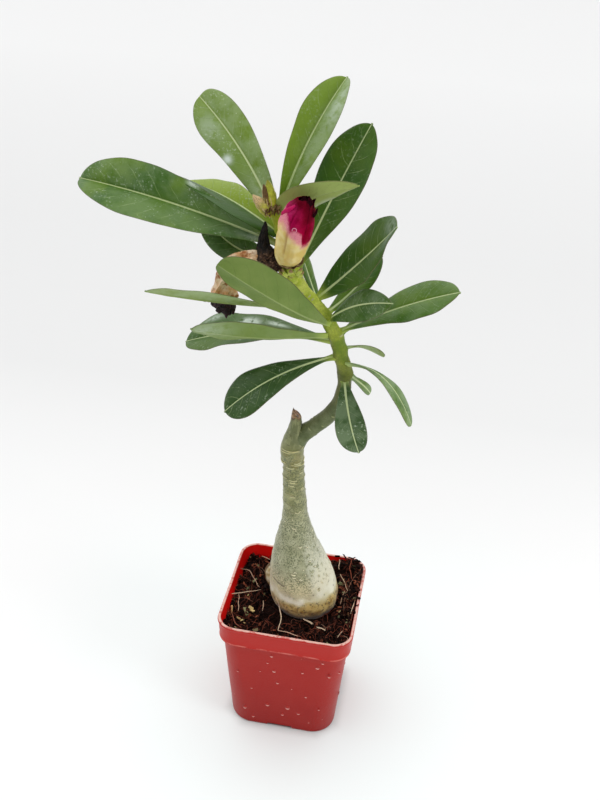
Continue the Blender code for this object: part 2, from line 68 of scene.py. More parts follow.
def tube_faces(rows, columns, first=0):
    """Faces of a grid that wraps round and is closed by one flat face at each end."""
    start = list(range(first, first + columns))
    last = first + (rows - 1) * columns
    return grid_faces(rows, columns, True, first) + [start[::-1], list(range(last, last + columns))]


def both_faces(above, below=None):
    """Columns across one face of a sheet and back along the other, which holds the same if not given."""
    return np.concatenate([above, (above if below is None else below)[:, ::-1]], 1)


def make_piece(name, points, material, slot, *nodes, faces=None, smooth=50, **values):
    """Make an object from points in millimetres: a grid that wraps round, unless its faces are given.
    values are numbers for each point, kept as attributes."""
    faces = faces or tube_faces(*points.shape[:2])
    mesh = bpy.data.meshes.new(name)
    mesh.from_pydata((np.asarray(points, float).reshape(-1, 3) * MM).tolist(), [], faces)
    for key, numbers in values.items():
        spread = np.broadcast_to(np.asarray(numbers, np.float32), (len(mesh.vertices),))
        mesh.attributes.new(key, "FLOAT", "POINT").data.foreach_set("value", np.ascontiguousarray(spread))
    mesh.shade_smooth()
    mesh.set_sharp_from_angle(angle=math.radians(smooth))
    mesh.materials.append(material)
    piece = bpy.data.objects.new(name, mesh)
    add_to_scene(piece)
    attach(piece, "root")
    if nodes:
        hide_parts(*nodes)
    print(f"{name}: {len(mesh.polygons)} faces")
    return piece


# %% Smooth lines, tubes and seeded relief
def unit(vectors):
    """Vectors of length one."""
    return vectors / np.linalg.norm(vectors, axis=-1, keepdims=True)


def smooth_step(value, low, high):
    """0 below low, 1 above high, and a smooth rise between."""
    share = np.clip((value - low) / (high - low), 0.0, 1.0)
    return share * share * (3.0 - 2.0 * share)


def spline(stations, count):
    """A smooth line (Catmull-Rom) through the stations, every column alike."""
    points = np.asarray(stations, float)
    padded = np.vstack([2 * points[0] - points[1], points, 2 * points[-1] - points[-2]])
    where = np.linspace(0, len(points) - 1, count)
    span = np.minimum(where.astype(int), len(points) - 2)
    u = (where - span)[:, None]
    p0, p1, p2, p3 = (padded[span + k] for k in range(4))
    return 0.5 * (2 * p1 + (p2 - p0) * u + (2 * p0 - 5 * p1 + 4 * p2 - p3) * u**2
                  + (3 * p1 - p0 - 3 * p2 + p3) * u**3)


def turned_frame(middle):
    """Direction along a line, and two directions across it that don't twist."""
    along = unit(np.gradient(middle, axis=0))
    across = np.empty_like(along)
    across[0] = unit(np.cross(along[0], (0.0, 1.0, 0.1)))
    for k in range(1, len(middle)):
        across[k] = unit(across[k - 1] - along[k] * (across[k - 1] @ along[k]))
    return along, across, np.cross(along, across)


def around(count):
    """Angles evenly round a circle."""
    return np.arange(count) * TURN / count


def ring_ways(angle, across, other):
    """Directions at angles round a line: cosine times one direction across it, and sine times the other."""
    return np.cos(angle)[..., None] * across + np.sin(angle)[..., None] * other


def tube(stations, rows, columns, swell=None):
    """Rings round a smooth middle line; swell(angle, share) multiplies the radius."""
    line = spline(stations, rows)
    _, across, other = turned_frame(line[:, :3])
    angle = around(columns)[None, :]
    share = np.linspace(0, 1, rows)[:, None]
    reach = line[:, 3:4] * (np.ones_like(angle) if swell is None else swell(angle, share))
    return line[:, None, :3] + reach[..., None] * ring_ways(angle, across[:, None], other[:, None])


def rotated(x, y, z, angle):
    """Points turned by an angle about the upright axis."""
    return np.stack([x * np.cos(angle) - y * np.sin(angle), x * np.sin(angle) + y * np.cos(angle), z], -1)


def compass(degrees):
    """The level direction at a compass angle: 0 is the front and 90 the right."""
    return np.array([math.sin(math.radians(degrees)), -math.cos(math.radians(degrees)), 0.0])


def waves(points, size, seed, count=24):
    """Seeded relief between about -1 and 1: sine waves in random directions, crests `size` mm apart."""
    random = np.random.default_rng(seed)
    way = random.normal(size=(3, count))
    way *= TURN / size / np.linalg.norm(way, axis=0)
    phase = random.uniform(0, TURN, count)
    return np.sin(np.asarray(points) @ way + phase).sum(-1) * 0.8 / math.sqrt(count)


# %% [markdown]
# ## Shader tools
# Materials are graphs of nodes. A small class keeps them readable: it holds one graph, and its methods add
# the few kinds of node that nearly every mask and colour here needs.


# %% Node helpers
class Nodes:
    """One node tree. What its methods take may be a number, a colour, another node's output, or the name
    of numbers kept on the points of the mesh."""

    def __init__(self, tree):
        self.tree = tree
        self.shader = tree.nodes.get("Principled BSDF")
        self.spot = self.add("ShaderNodeTexCoord").outputs["Object"]

    def feed(self, node, key, value):
        """Link an input of a node to an output, or set it; a colour's fourth number is always 1."""
        socket = node.inputs[key]
        value = self.value(value) if isinstance(value, str) else value
        if isinstance(value, bpy.types.NodeSocket):
            self.tree.links.new(value, socket)
        else:
            socket.default_value = (*value, 1.0) if socket.type == "RGBA" else value

    def add(self, kind, feeds=None, **settings):
        """Add a node, set its properties, and feed its inputs."""
        node = self.tree.nodes.new(kind)
        for key, value in settings.items():
            setattr(node, key, value)
        for key, value in (feeds or {}).items():
            self.feed(node, key, value)
        return node

    def calc(self, operation, a, b=0.0, c=0.0, clamp=False):
        """One sum on up to three numbers."""
        return self.add("ShaderNodeMath", {0: a, 1: b, 2: c}, operation=operation, use_clamp=clamp).outputs[0]

    def times(self, product, *factors, clamp=False):
        """A product of two or more."""
        for factor in factors:
            product = self.calc("MULTIPLY", product, factor, clamp=clamp)
        return product

    def plus(self, a, b):
        """A sum."""
        return self.calc("ADD", a, b)

    def minus(self, a, b):
        """A difference."""
        return self.calc("SUBTRACT", a, b)

    def mix(self, share, a, b, strength=None):
        """Two colours mixed by a share, or by the share times a strength."""
        share = share if strength is None else self.times(share, strength)
        return self.add("ShaderNodeMix", {0: share, 6: a, 7: b}, data_type="RGBA").outputs[2]

    def rise(self, value, low, high):
        """A mask that rises smoothly from 0 at low to 1 at high; low may be the larger one."""
        feeds = {"Value": value, "From Min": low, "From Max": high}
        return self.add("ShaderNodeMapRange", feeds, interpolation_type="SMOOTHSTEP").outputs[0]

    def noise(self, size, detail=3.0, roughness=0.55, at=None):
        """Noise whose features are about `size` mm across."""
        where = self.spot if at is None else at
        feeds = {"Vector": where, "Scale": 1000.0 / size, "Detail": detail, "Roughness": roughness}
        return self.add("ShaderNodeTexNoise", feeds).outputs["Fac"]

    def clouds(self, size, low, high, detail=3.0, at=None):
        """A patchy mask: noise whose value rises from 0 at low to 1 at high."""
        return self.rise(self.noise(size, detail, at=at), low, high)

    def stretched(self, *factors):
        """The place on the object, each axis times a factor: a small one draws a pattern out along it."""
        return self.add("ShaderNodeVectorMath", {0: self.spot, 1: factors}, operation="MULTIPLY").outputs[0]

    def height(self):
        """Height over the floor in millimetres."""
        return self.times(self.add("ShaderNodeSeparateXYZ", {0: self.spot}).outputs[2], 1000.0)

    def value(self, name):
        """The numbers of that name kept on the points of the mesh."""
        return self.add("ShaderNodeAttribute", attribute_name=name).outputs["Fac"]

    def place(self, group, **values):
        """Put a node group into the tree with its own values, and give its outputs."""
        return self.add("ShaderNodeGroup", values, node_tree=group.tree).outputs

    def paint(self, colour, height=None, depth=0.0):
        """Feed the shader's colour, and its normal from a height; depth is how many millimetres 1 is."""
        self.feed(self.shader, "Base Color", colour)
        if height is not None:
            bump = self.add("ShaderNodeBump", {"Height": height, "Distance": depth * MM})
            self.feed(self.shader, "Normal", bump.outputs[0])


def new_material(name, roughness, gloss=0.5, **sockets):
    """A material and its nodes; gloss is how much light its surface reflects."""
    material = bpy.data.materials.new(name)
    material.use_nodes = True
    look = Nodes(material.node_tree)
    sockets.update({"Roughness": roughness, "Specular_IOR_Level": gloss})
    for key, value in sockets.items():
        look.shader.inputs[key.replace("_", " ")].default_value = value
    return material, look


# %% [markdown]
# ## Camera and studio
# The camera stands where the photographer stood: a little to the right, looking down at 31 degrees, and
# slightly tilted. The studio is a white sweep with one large soft light above, a small panel on the right
# and an even surround.


# %% Camera
CAMERA_AZIMUTH = math.radians(8.61)
CAMERA_ELEVATION = math.radians(31.06)
CAMERA_ROLL = math.radians(3.11)
CAMERA_DISTANCE = 472.97
CAMERA_TARGET = np.array([-2.9, 2.4, 189.41])


def place_object(data, right, up, back, location):
    """An object whose own axes point right, up and back, at a location in metres."""
    thing = bpy.data.objects.new(data.name, data)
    place = np.eye(4)
    place[:3, 0], place[:3, 1], place[:3, 2], place[:3, 3] = right, up, back, location
    thing.matrix_world = Matrix(place.tolist())
    add_to_scene(thing)
    return thing


toward_camera = np.array([
    math.sin(CAMERA_AZIMUTH) * math.cos(CAMERA_ELEVATION),
    -math.cos(CAMERA_AZIMUTH) * math.cos(CAMERA_ELEVATION),
    math.sin(CAMERA_ELEVATION)])
level = unit(np.cross(-toward_camera, (0.0, 0.0, 1.0)))
upright = np.cross(level, -toward_camera)
camera_right = level * math.cos(CAMERA_ROLL) + upright * math.sin(CAMERA_ROLL)
camera_up = upright * math.cos(CAMERA_ROLL) - level * math.sin(CAMERA_ROLL)
camera_place = (CAMERA_TARGET + toward_camera * CAMERA_DISTANCE) * MM
camera_data = bpy.data.cameras.new("camera")
camera_data.lens = 45.0
camera_data.sensor_width = 36.0
camera_data.clip_start = 0.01
camera_data.clip_end = 50.0
bpy.context.scene.camera = place_object(camera_data, camera_right, camera_up, toward_camera, camera_place)
print("camera at", camera_place.round(3))

# %% Paper
# the paper glows, a painted light, and its glow changes with the distance behind the pot. There is none
# under the pot, where the paper is painted dark red as shade with the pot's red reflection, and close to the
# pot the paper is painted a little less red, because it would otherwise pick up too much of the pot's red
# light
GLOW = [(-0.10, 1.0), (0.10, 0.80), (0.32, 0.28), (0.65, 0.28), (1.50, 0.63)]   # metres behind the pot, share
CORNER_ON = 0.6                 # rounds the corners of the square patch under the pot

paper, look = new_material("studio_paper", 0.9, Emission_Strength=0.225)
axes = look.add("ShaderNodeSeparateXYZ", {0: look.spot}).outputs
behind = look.add("ShaderNodeMapRange", {"Value": axes[1], "From Min": GLOW[0][0], "From Max": GLOW[-1][0]})
ramp = look.add("ShaderNodeValToRGB", {0: behind.outputs[0]})
for far, _ in GLOW[1:-1]:
    ramp.color_ramp.elements.new((far - GLOW[0][0]) / (GLOW[-1][0] - GLOW[0][0]))
for (_, strength), stop in zip(GLOW, ramp.color_ramp.elements):
    stop.color = (strength, strength, strength, 1.0)
sides = [look.calc("ABSOLUTE", axes[k]) for k in (0, 1)]
away = look.calc("MAXIMUM", look.calc("MAXIMUM", *sides), look.times(look.plus(*sides), CORNER_ON))
# no glow under the pot: painted shade where the pot covers the paper
glow = look.mix(look.rise(away, 0.026, 0.034), (0.0, 0.0, 0.0), ramp.outputs[0])
# near the pot the paper is painted less red, to offset the red light it picks up from the pot
paper_colour_painted_shade = look.mix(look.rise(away, 0.03, 0.20), (0.70, 0.755, 0.745), (0.72, 0.72, 0.715))
# under the pot the paper is painted dark red: painted shade with the pot's red reflection
paper_colour_painted_shade = look.mix(look.rise(away, 0.0265, 0.0278), (0.10, 0.025, 0.02), paper_colour_painted_shade)
look.feed(look.shader, "Emission Color", glow)
look.paint(paper_colour_painted_shade)
print("paper nodes:", len(look.tree.nodes))

# %% Floor sweep, lights and surround
SWEEP_HALF_WIDTH = 4.0          # metres
SWEEP_FRONT = -2.5
SWEEP_BACK = 6.0
SWEEP_RADIUS = 0.8
SWEEP_TOP = 3.0
FLOOR_DROP = 0.0002             # the paper lies this far under the pot, so that the two don't flicker
PANEL_PLACE = np.array([0.70, -0.30, 0.50])
PANEL_AIM = (0.0, 0.0, 0.12)

turn = np.linspace(0, math.pi / 2, 13)
sweep_y = SWEEP_BACK + SWEEP_RADIUS * np.concatenate([[0.0], np.sin(turn), [1.0]])
sweep_y[0] = SWEEP_FRONT
sweep_z = np.concatenate([[0.0], SWEEP_RADIUS * (1 - np.cos(turn)), [SWEEP_TOP]]) - FLOOR_DROP
sweep_x = np.array([-SWEEP_HALF_WIDTH, SWEEP_HALF_WIDTH])
sweep = np.stack(np.broadcast_arrays(sweep_x, sweep_y[:, None], sweep_z[:, None]), -1)
floor_mesh = bpy.data.meshes.new("floor_sweep")
floor_mesh.from_pydata(sweep.reshape(-1, 3).tolist(), [], grid_faces(len(sweep_y), 2))
floor_mesh.shade_smooth()
floor_mesh.materials.append(paper)
floor = bpy.data.objects.new("floor_sweep", floor_mesh)
add_to_scene(floor)

sky_data = bpy.data.lights.new("skylight", "SUN")
sky_data.energy = 2.3
sky_data.angle = math.radians(110)
skylight = bpy.data.objects.new("skylight", sky_data)
skylight.rotation_euler = (math.radians(-14), math.radians(-16), 0.0)
add_to_scene(skylight)
panel = bpy.data.lights.new("side_panel", "AREA")
panel.size = 0.30
panel.energy = 1.6
panel_back = unit(PANEL_PLACE - PANEL_AIM)
panel_side = unit(np.cross((0.0, 1.0, 0.01), panel_back))
place_object(panel, panel_side, np.cross(panel_back, panel_side), panel_back, PANEL_PLACE)
world = bpy.data.worlds.new("surround")
world.use_nodes = True
world.node_tree.nodes["Background"].inputs["Color"].default_value = (0.97, 0.98, 1.0, 1.0)
world.node_tree.nodes["Background"].inputs["Strength"].default_value = 0.40
bpy.context.scene.world = world
bpy.context.scene.view_settings.view_transform = "Standard"
print("lights:", skylight.name, panel.name, world.name)

# %% [markdown]
# ## Shared effects
# Dried water leaves white specks on leaves, bark and pot alike, and every living surface is a little
# blotchy. Each is a node group, built once and placed in the materials with its own values.


# %% Node groups for specks and mottling
def new_group(name, inputs, outputs):
    """A node group with named number sockets: its nodes, what comes in, and the node that takes the rest."""
    group = bpy.data.node_groups.new(name, "ShaderNodeTree")
    for label, value in inputs.items():
        group.interface.new_socket(label, in_out="INPUT", socket_type="NodeSocketFloat").default_value = value
    for label in outputs:
        group.interface.new_socket(label, in_out="OUTPUT", socket_type="NodeSocketFloat")
    return Nodes(group), group.nodes.new("NodeGroupInput").outputs, group.nodes.new("NodeGroupOutput")


speck_values = {"Spacing": 2.0, "Size": 0.25, "Share": 0.3}
specks, speck_in, speck_out = new_group("dried_specks", speck_values, ["Mask"])
speck_scale = specks.calc("DIVIDE", 1000.0, speck_in["Spacing"])
cells = specks.add("ShaderNodeTexVoronoi", {"Vector": specks.spot, "Scale": speck_scale}).outputs
cell_pick = specks.add("ShaderNodeSeparateColor", {0: cells["Color"]}).outputs
speck_edge = specks.minus(specks.times(speck_in["Size"], cell_pick[1]), cells["Distance"])
chosen = specks.calc("LESS_THAN", cell_pick[0], speck_in["Share"])
specks.feed(speck_out, "Mask", specks.times(specks.rise(speck_edge, 0.0, 0.06), chosen))

mottle, mottle_in, mottle_out = new_group("mottling", {"Size": 8.0, "Grain": 0.8}, ["Patches", "Grain"])
for label, source, low, high in (("Patches", "Size", 0.35, 0.68), ("Grain", "Grain", 0.38, 0.62)):
    scale = mottle.calc("DIVIDE", 1000.0, mottle_in[source])
    cloud = mottle.add("ShaderNodeTexNoise", {"Vector": mottle.spot, "Scale": scale, "Detail": 4.0})
    mottle.feed(mottle_out, label, mottle.rise(cloud.outputs["Fac"], low, high))
print("node groups:", [group.name for group in bpy.data.node_groups])

# %% [markdown]
# ## The pot
# The pot is one moulding: thin tapered walls with rounded corners, a straight band round the top and a
# narrow rolled lip. The lip is pale, partly from wear and partly a painted highlight; the inside is painted a
# clearer red as a painted glow of bounced light; and water has dried on it. A profile of widths and heights
# is carried round a square with round corners.

# %% Pot sizes
POT_HEIGHT = 72.5
RIM_WIDTH = 70.0
RIM_CORNER = 10.0
BAND_HEIGHT = 12.0
BAND_BOTTOM_WIDTH = 68.4
BODY_TOP_WIDTH = 65.4
BASE_WIDTH = 56.7
BASE_CORNER = 12.5
WALL = 1.1
FLOOR = 1.4
CHANNEL_WIDTH = 13.0
CHANNEL_HEIGHT = 1.9
CHANNEL_LENGTH = 12.0
CORNER_COLUMNS = 13
ARCH_EDGE = 0.3                 # millimetres either side of the arch's end
SHOULDER = POT_HEIGHT - BAND_HEIGHT
RIPPLE_SIZE, RIPPLE_DEPTH, RIPPLE_SEED = 26.0, 0.10, 7   # the walls are a little uneven
# places of the columns along half a side, as shares of it; two of them bound the step at the arch's end
HALF_SIDE = BASE_WIDTH / 2 - BASE_CORNER
ARCH_PLACES = [(CHANNEL_WIDTH / 2 + edge) / HALF_SIDE for edge in (ARCH_EDGE, -ARCH_EDGE)]
OUTER_PLACES = [0.86, 0.72, 0.57, *ARCH_PLACES, 0.2]
SIDE_PLACES = np.array(OUTER_PLACES + [0.0] + [-place for place in OUTER_PLACES[::-1]])
print("rim, foot and height in mm:", RIM_WIDTH, BASE_WIDTH, POT_HEIGHT)


def rounded_square(width, corner, height):
    """Points round a square with round corners."""
    half = width / 2 - corner
    turns = np.linspace(0, math.pi / 2, CORNER_COLUMNS)
    ring = []
    for quarter in range(4):
        x = np.concatenate([half + corner * np.cos(turns), half * SIDE_PLACES])
        y = np.concatenate([half + corner * np.sin(turns), np.full(len(SIDE_PLACES), half + corner)])
        ring.append(rotated(x, y, np.full(len(x), height), quarter * math.pi / 2))
    return np.concatenate(ring)


def pot_inside_width(height):
    """Clear width inside the pot at a height."""
    outside = np.interp(height, (0, SHOULDER, POT_HEIGHT), (BASE_WIDTH, BODY_TOP_WIDTH, RIM_WIDTH - 0.4))
    return outside - 2 * WALL


def pot_corner(height):
    """Corner radius of the pot's outside at a height."""
    return np.interp(height, (0, POT_HEIGHT), (BASE_CORNER, RIM_CORNER))


# %% Pot mesh
def steps_from(width, height, *steps):
    """Rows of a profile, given as steps in width and height from one place."""
    return [(width + wider, height + higher) for wider, higher in steps]


body_heights = np.linspace(5.0, SHOULDER - 1.6, 16)
body_widths = np.interp(body_heights, (0, SHOULDER), (BASE_WIDTH, BODY_TOP_WIDTH))
outside_profile = [
    *steps_from(BASE_WIDTH, 0.0, (-2 * CHANNEL_LENGTH, 0.0), (-12.0, 0.0), (-1.6, 0.0), (-0.8, 0.12),
                (-0.3, 0.5), (0.0, 1.2), (0.2, 1.9), (0.3, 3.0)),
    *zip(body_widths, body_heights),
    *steps_from(BODY_TOP_WIDTH, SHOULDER, (0.0, -1.1), (0.35, -0.9), (0.35, -0.5), (0.1, -0.3), (1.4, -0.35)),
    *steps_from(BAND_BOTTOM_WIDTH, SHOULDER, (-0.3, -0.2), (0.35, 0.15), (0.45, 0.5), (0.2, 0.9),
                (0.0, 1.3), (0.6, 5.0)),
    *steps_from(RIM_WIDTH, POT_HEIGHT, (-0.9, -2.4), (-0.8, -1.9), (-0.1, -1.7), (0.2, -1.3), (0.3, -0.9),
                (0.1, -0.4), (-0.4, -0.1), (-1.0, 0.0))]
inside_profile = [
    *steps_from(RIM_WIDTH, POT_HEIGHT, (-1.9, 0.0), (-2.5, -0.15), (-2.7, -0.6)),
    *((pot_inside_width(height), height) for height in (SHOULDER + 6, SHOULDER, 30.0, 4.0)),
    *steps_from(pot_inside_width(FLOOR), FLOOR, (-1.2, 0.4), (-3.0, 0.0)), (20.0, FLOOR)]
rings = []
for width, height in outside_profile:
    corner = min(pot_corner(height) - 0.2 - max(0.0, BASE_WIDTH - width) * 0.25, width / 2 - 0.5)
    ring = rounded_square(width, corner, height)
    side = np.minimum(np.abs(ring[:, 0]), np.abs(ring[:, 1]))
    inset = BASE_WIDTH / 2 - np.maximum(np.abs(ring[:, 0]), np.abs(ring[:, 1]))
    arch = CHANNEL_HEIGHT * (1 - smooth_step(side - CHANNEL_WIDTH / 2, -ARCH_EDGE, ARCH_EDGE))
    arch *= smooth_step(CHANNEL_LENGTH - inset, 0.0, 1.0)
    ring[:, 2] = np.maximum(ring[:, 2], arch) if height < CHANNEL_HEIGHT + 0.1 else ring[:, 2]
    rings.append(ring)
for width, height in inside_profile:
    rings.append(rounded_square(width, min(pot_corner(height) - WALL, width / 2 - 0.5), height))
pot_points = np.array(rings)
ripple = waves(pot_points, RIPPLE_SIZE, RIPPLE_SEED) * RIPPLE_DEPTH
ripple *= smooth_step(pot_points[..., 2], 3.0, 12.0)
pot_points[..., :2] *= (1 + ripple / (RIM_WIDTH / 2))[..., None]
is_inside = np.repeat(np.arange(len(rings)) >= len(outside_profile) + 2, pot_points.shape[1])
print("rings and columns of the pot:", pot_points.shape[:2])

# %% [markdown]
# The plastic is dyed through, so colour hardly changes, though the wall is painted darker towards the bottom
# as shade; light bounces inside the pot, and the inner wall is painted a clear bright red to stand in for it.
# The top of the lip is a pale line, partly rubbed wear and partly a painted highlight, a mask by height with
# a ragged edge.

# %% Pot material
plastic, look = new_material("red_plastic", 0.38, 0.25, IOR=1.46)
height_mm = look.height()
patch = look.place(mottle, Size=14.0, Grain=1.1)
# darker towards the bottom of the wall: a painted shade, as the light comes from above
body_red = look.mix(look.rise(height_mm, 0.0, 56.0), (0.325, 0.0060, 0.0028), (0.405, 0.011, 0.0062))
body_red = look.mix(look.rise(height_mm, SHOULDER - 0.2, SHOULDER + 0.5), body_red, (0.50, 0.020, 0.014))
body_red = look.mix(patch["Patches"], body_red, (0.50, 0.05, 0.035), 0.10)
# the inside wall is painted a brighter red: a painted glow of the light that bounces inside the pot
red = look.mix("inside", body_red, (0.78, 0.006, 0.005))
# the pale top of the lip: partly rubbed wear, partly a painted highlight
ragged = look.calc("MULTIPLY_ADD", look.noise(3.0, 4.0), 0.9, POT_HEIGHT - 0.72)
spots = look.calc("MULTIPLY_ADD", look.clouds(2.2, 0.60, 0.53), 0.6, 0.35)
worn_and_highlit = look.times(look.rise(look.minus(height_mm, ragged), -0.12, 0.12), look.minus(1.0, "inside"), spots)
red = look.mix(worn_and_highlit, red, (0.78, 0.47, 0.40))
# a pale line along the band's lower edge: a painted highlight
band_edge_highlight = look.rise(look.calc("ABSOLUTE", look.minus(height_mm, SHOULDER + 0.75)), 0.5, 0.1)
band_edge_highlight = look.times(band_edge_highlight, look.clouds(7.0, 0.42, 0.60))
red = look.mix(band_edge_highlight, red, (0.80, 0.30, 0.25), 0.5)
marks = look.place(specks, Spacing=4.5, Size=0.12, Share=0.35)
red = look.mix(marks["Mask"], red, (0.66, 0.26, 0.22), 0.5)
look.paint(red, patch["Grain"], 0.02)
haze = look.calc("MULTIPLY_ADD", patch["Patches"], 0.08, 0.34)
look.feed(look.shader, "Roughness", haze)
print("plastic nodes:", len(look.tree.nodes))

# %% Pot piece with its drain slots
pot = make_piece("pot_shell", pot_points, plastic, "pot_plastic", "pot", smooth=35, inside=is_inside)
# a cube's corners, one apart, and its faces
CUBE = np.array([(i, j, k) for i in (-0.5, 0.5) for j in (-0.5, 0.5) for k in (-0.5, 0.5)])
CUBE_FACES = np.array([(0, 1, 3, 2), (4, 6, 7, 5), (0, 4, 5, 1), (2, 3, 7, 6), (0, 2, 6, 4), (1, 5, 7, 3)])


def cut_slots(piece, size, reach):
    """Cut four upright slots, one over each side's arch, by Boolean differences."""
    x, y, z = (CUBE * size + (reach, 0.0, 0.0)).T
    cutters = []
    for quarter in range(4):
        mesh = bpy.data.meshes.new("slot_cutter")
        mesh.from_pydata((rotated(x, y, z, quarter * math.pi / 2) * MM).tolist(), [], CUBE_FACES.tolist())
        cutters.append(bpy.data.objects.new("slot_cutter", mesh))
        add_to_scene(cutters[-1])
        cut = piece.modifiers.new("slot", "BOOLEAN")
        cut.operation, cut.solver, cut.object = "DIFFERENCE", "EXACT", cutters[-1]
    cut_mesh = bpy.data.meshes.new_from_object(piece.evaluated_get(bpy.context.evaluated_depsgraph_get()))
    piece.modifiers.clear()
    piece.data = cut_mesh
    for cutter in cutters:
        bpy.data.objects.remove(cutter)


DRAIN_SLOT = (3.4, 8.0, 8.0)
cut_slots(pot, DRAIN_SLOT, BASE_WIDTH / 2 - CHANNEL_LENGTH + DRAIN_SLOT[0] / 2 + 0.8)
print("pot with slots:", len(pot.data.polygons), "faces")

# %% [markdown]
# ## Water on the pot
# Drops cling to the walls. Each is a low dome, and a pale crescent is painted along its lower edge, a painted
# highlight where light gathers.
# The drops of the front are placed one by one; those of the other walls come from a seeded draw.

# %% Drops
FRONT_DROPS = [   # along the wall, height and radius, in millimetres
    (-5.1, 56.2, 0.7), (-7.2, 50.5, 0.5), (18.9, 53.1, 0.9), (21.5, 57.0, 0.6), (-3.6, 45.0, 0.8),
    (11.3, 47.3, 0.6), (25.2, 47.6, 0.7), (30.2, 52.1, 0.5), (-1.6, 36.2, 0.7), (-15.4, 28.7, 0.5),
    (13.7, 28.7, 0.6), (-6.7, 17.2, 0.9), (-19.0, 11.9, 0.8), (4.2, 17.4, 1.0), (1.6, 11.1, 0.7),
    (10.2, 14.1, 0.7), (-14.4, 5.4, 0.6), (-23.0, 40.0, 0.4), (6.0, 33.0, 0.35), (21.0, 20.0, 0.45),
    (-11.0, 43.0, 0.35), (16.0, 8.0, 0.4)]
SIDE_DROPS = 48
DROP_SEED = 5
DROP_SPREAD = 1.35              # the radii above are those of the bright part
DOME_RINGS, DOME_SIDES = 5, 14
DOME_HEIGHT, DOME_LENGTH = 0.30, 1.15   # shares of the radius
random = np.random.default_rng(DROP_SEED)
front = np.array(FRONT_DROPS) * (1.0, 1.0, DROP_SPREAD)
drop_along = np.concatenate([front[:, 0], random.uniform(-24, 24, SIDE_DROPS)])
drop_height = np.concatenate([front[:, 1], random.uniform(6, SHOULDER - 2, SIDE_DROPS)])
drop_radius = np.concatenate([front[:, 2], random.uniform(0.3, 0.9, SIDE_DROPS)])
side_angle = np.concatenate([0 * front[:, 0], random.integers(1, 4, SIDE_DROPS) * math.pi / 2])[:, None]
lift_angle = np.linspace(0.0, math.pi / 2, DOME_RINGS)
dome_out = np.repeat(np.sin(lift_angle) * DOME_HEIGHT, DOME_SIDES)
dome_reach = np.maximum(np.cos(lift_angle), 0.05)
dome_x = np.outer(dome_reach, np.cos(around(DOME_SIDES))).ravel()
dome_z = np.outer(dome_reach, np.sin(around(DOME_SIDES))).ravel()
wall_out = np.interp(drop_height, (0, SHOULDER), (BASE_WIDTH, BODY_TOP_WIDTH)) / 2 + 0.02
x = drop_along[:, None] + drop_radius[:, None] * dome_x
y = -wall_out[:, None] - drop_radius[:, None] * dome_out
z = drop_height[:, None] + drop_radius[:, None] * dome_z * DOME_LENGTH
drop_points = rotated(x, y, z, side_angle)
drop_faces = []
for k in range(len(drop_along)):
    drop_faces += tube_faces(DOME_RINGS, DOME_SIDES, k * DOME_RINGS * DOME_SIDES)
water, look = new_material("clinging_water", 0.06, 0.6, IOR=1.33)
# pale at the lower edge of each drop: a painted highlight where light gathers
drop_painted_highlight = look.mix(look.rise("low", 0.05, 0.70), (0.40, 0.022, 0.016), (0.92, 0.50, 0.44))
look.paint(drop_painted_highlight)
make_piece("water_drops", drop_points, water, "pot_plastic", faces=drop_faces, smooth=80,
           low=np.tile(-dome_z, len(drop_along)))

# %% [markdown]
# ## The caudex
# The swollen stem base narrows to a neck and ends in a pruned stub. Its thin bark is pale with a fine
# dark green speckle, cream scars shaped like dashes and small hooks, ring scars on the neck, a smooth
# white zone low down and a tan foot. The form is a stack of rings; scars are raised by a formula.

# %% Caudex rings with scars
CAUDEX_Y = 4.0
CAUDEX = [
    (54.0, 4.5, 9.2), (60.0, 5.0, 13.0), (64.0, 5.1, 15.3), (67.0, 4.9, 16.9), (70.0, 4.7, 17.8),
    (74.0, 4.5, 18.1), (81.0, 3.6, 17.3), (88.5, 2.0, 15.7), (95.5, 0.6, 13.8), (102.5, -0.6, 11.5),
    (110.5, -1.6, 9.1), (118.0, -2.2, 7.1), (125.0, -2.8, 6.2), (131.0, -3.2, 5.8), (138.5, -3.8, 5.5),
    (144.5, -4.2, 5.3), (150.5, -4.6, 5.1), (155.0, -5.3, 5.4), (159.0, -5.7, 5.9), (162.0, -5.7, 5.7),
    (165.5, -5.5, 4.9), (170.0, -5.0, 4.1), (174.0, -4.6, 3.3), (178.0, -4.3, 2.6), (180.6, -4.1, 2.1)]
STUB_TIP_RISE = 1.7
STUB_POINT = 1.5
CAUDEX_ROWS = 420
CAUDEX_COLUMNS = 216
SCAR_SEED = 21
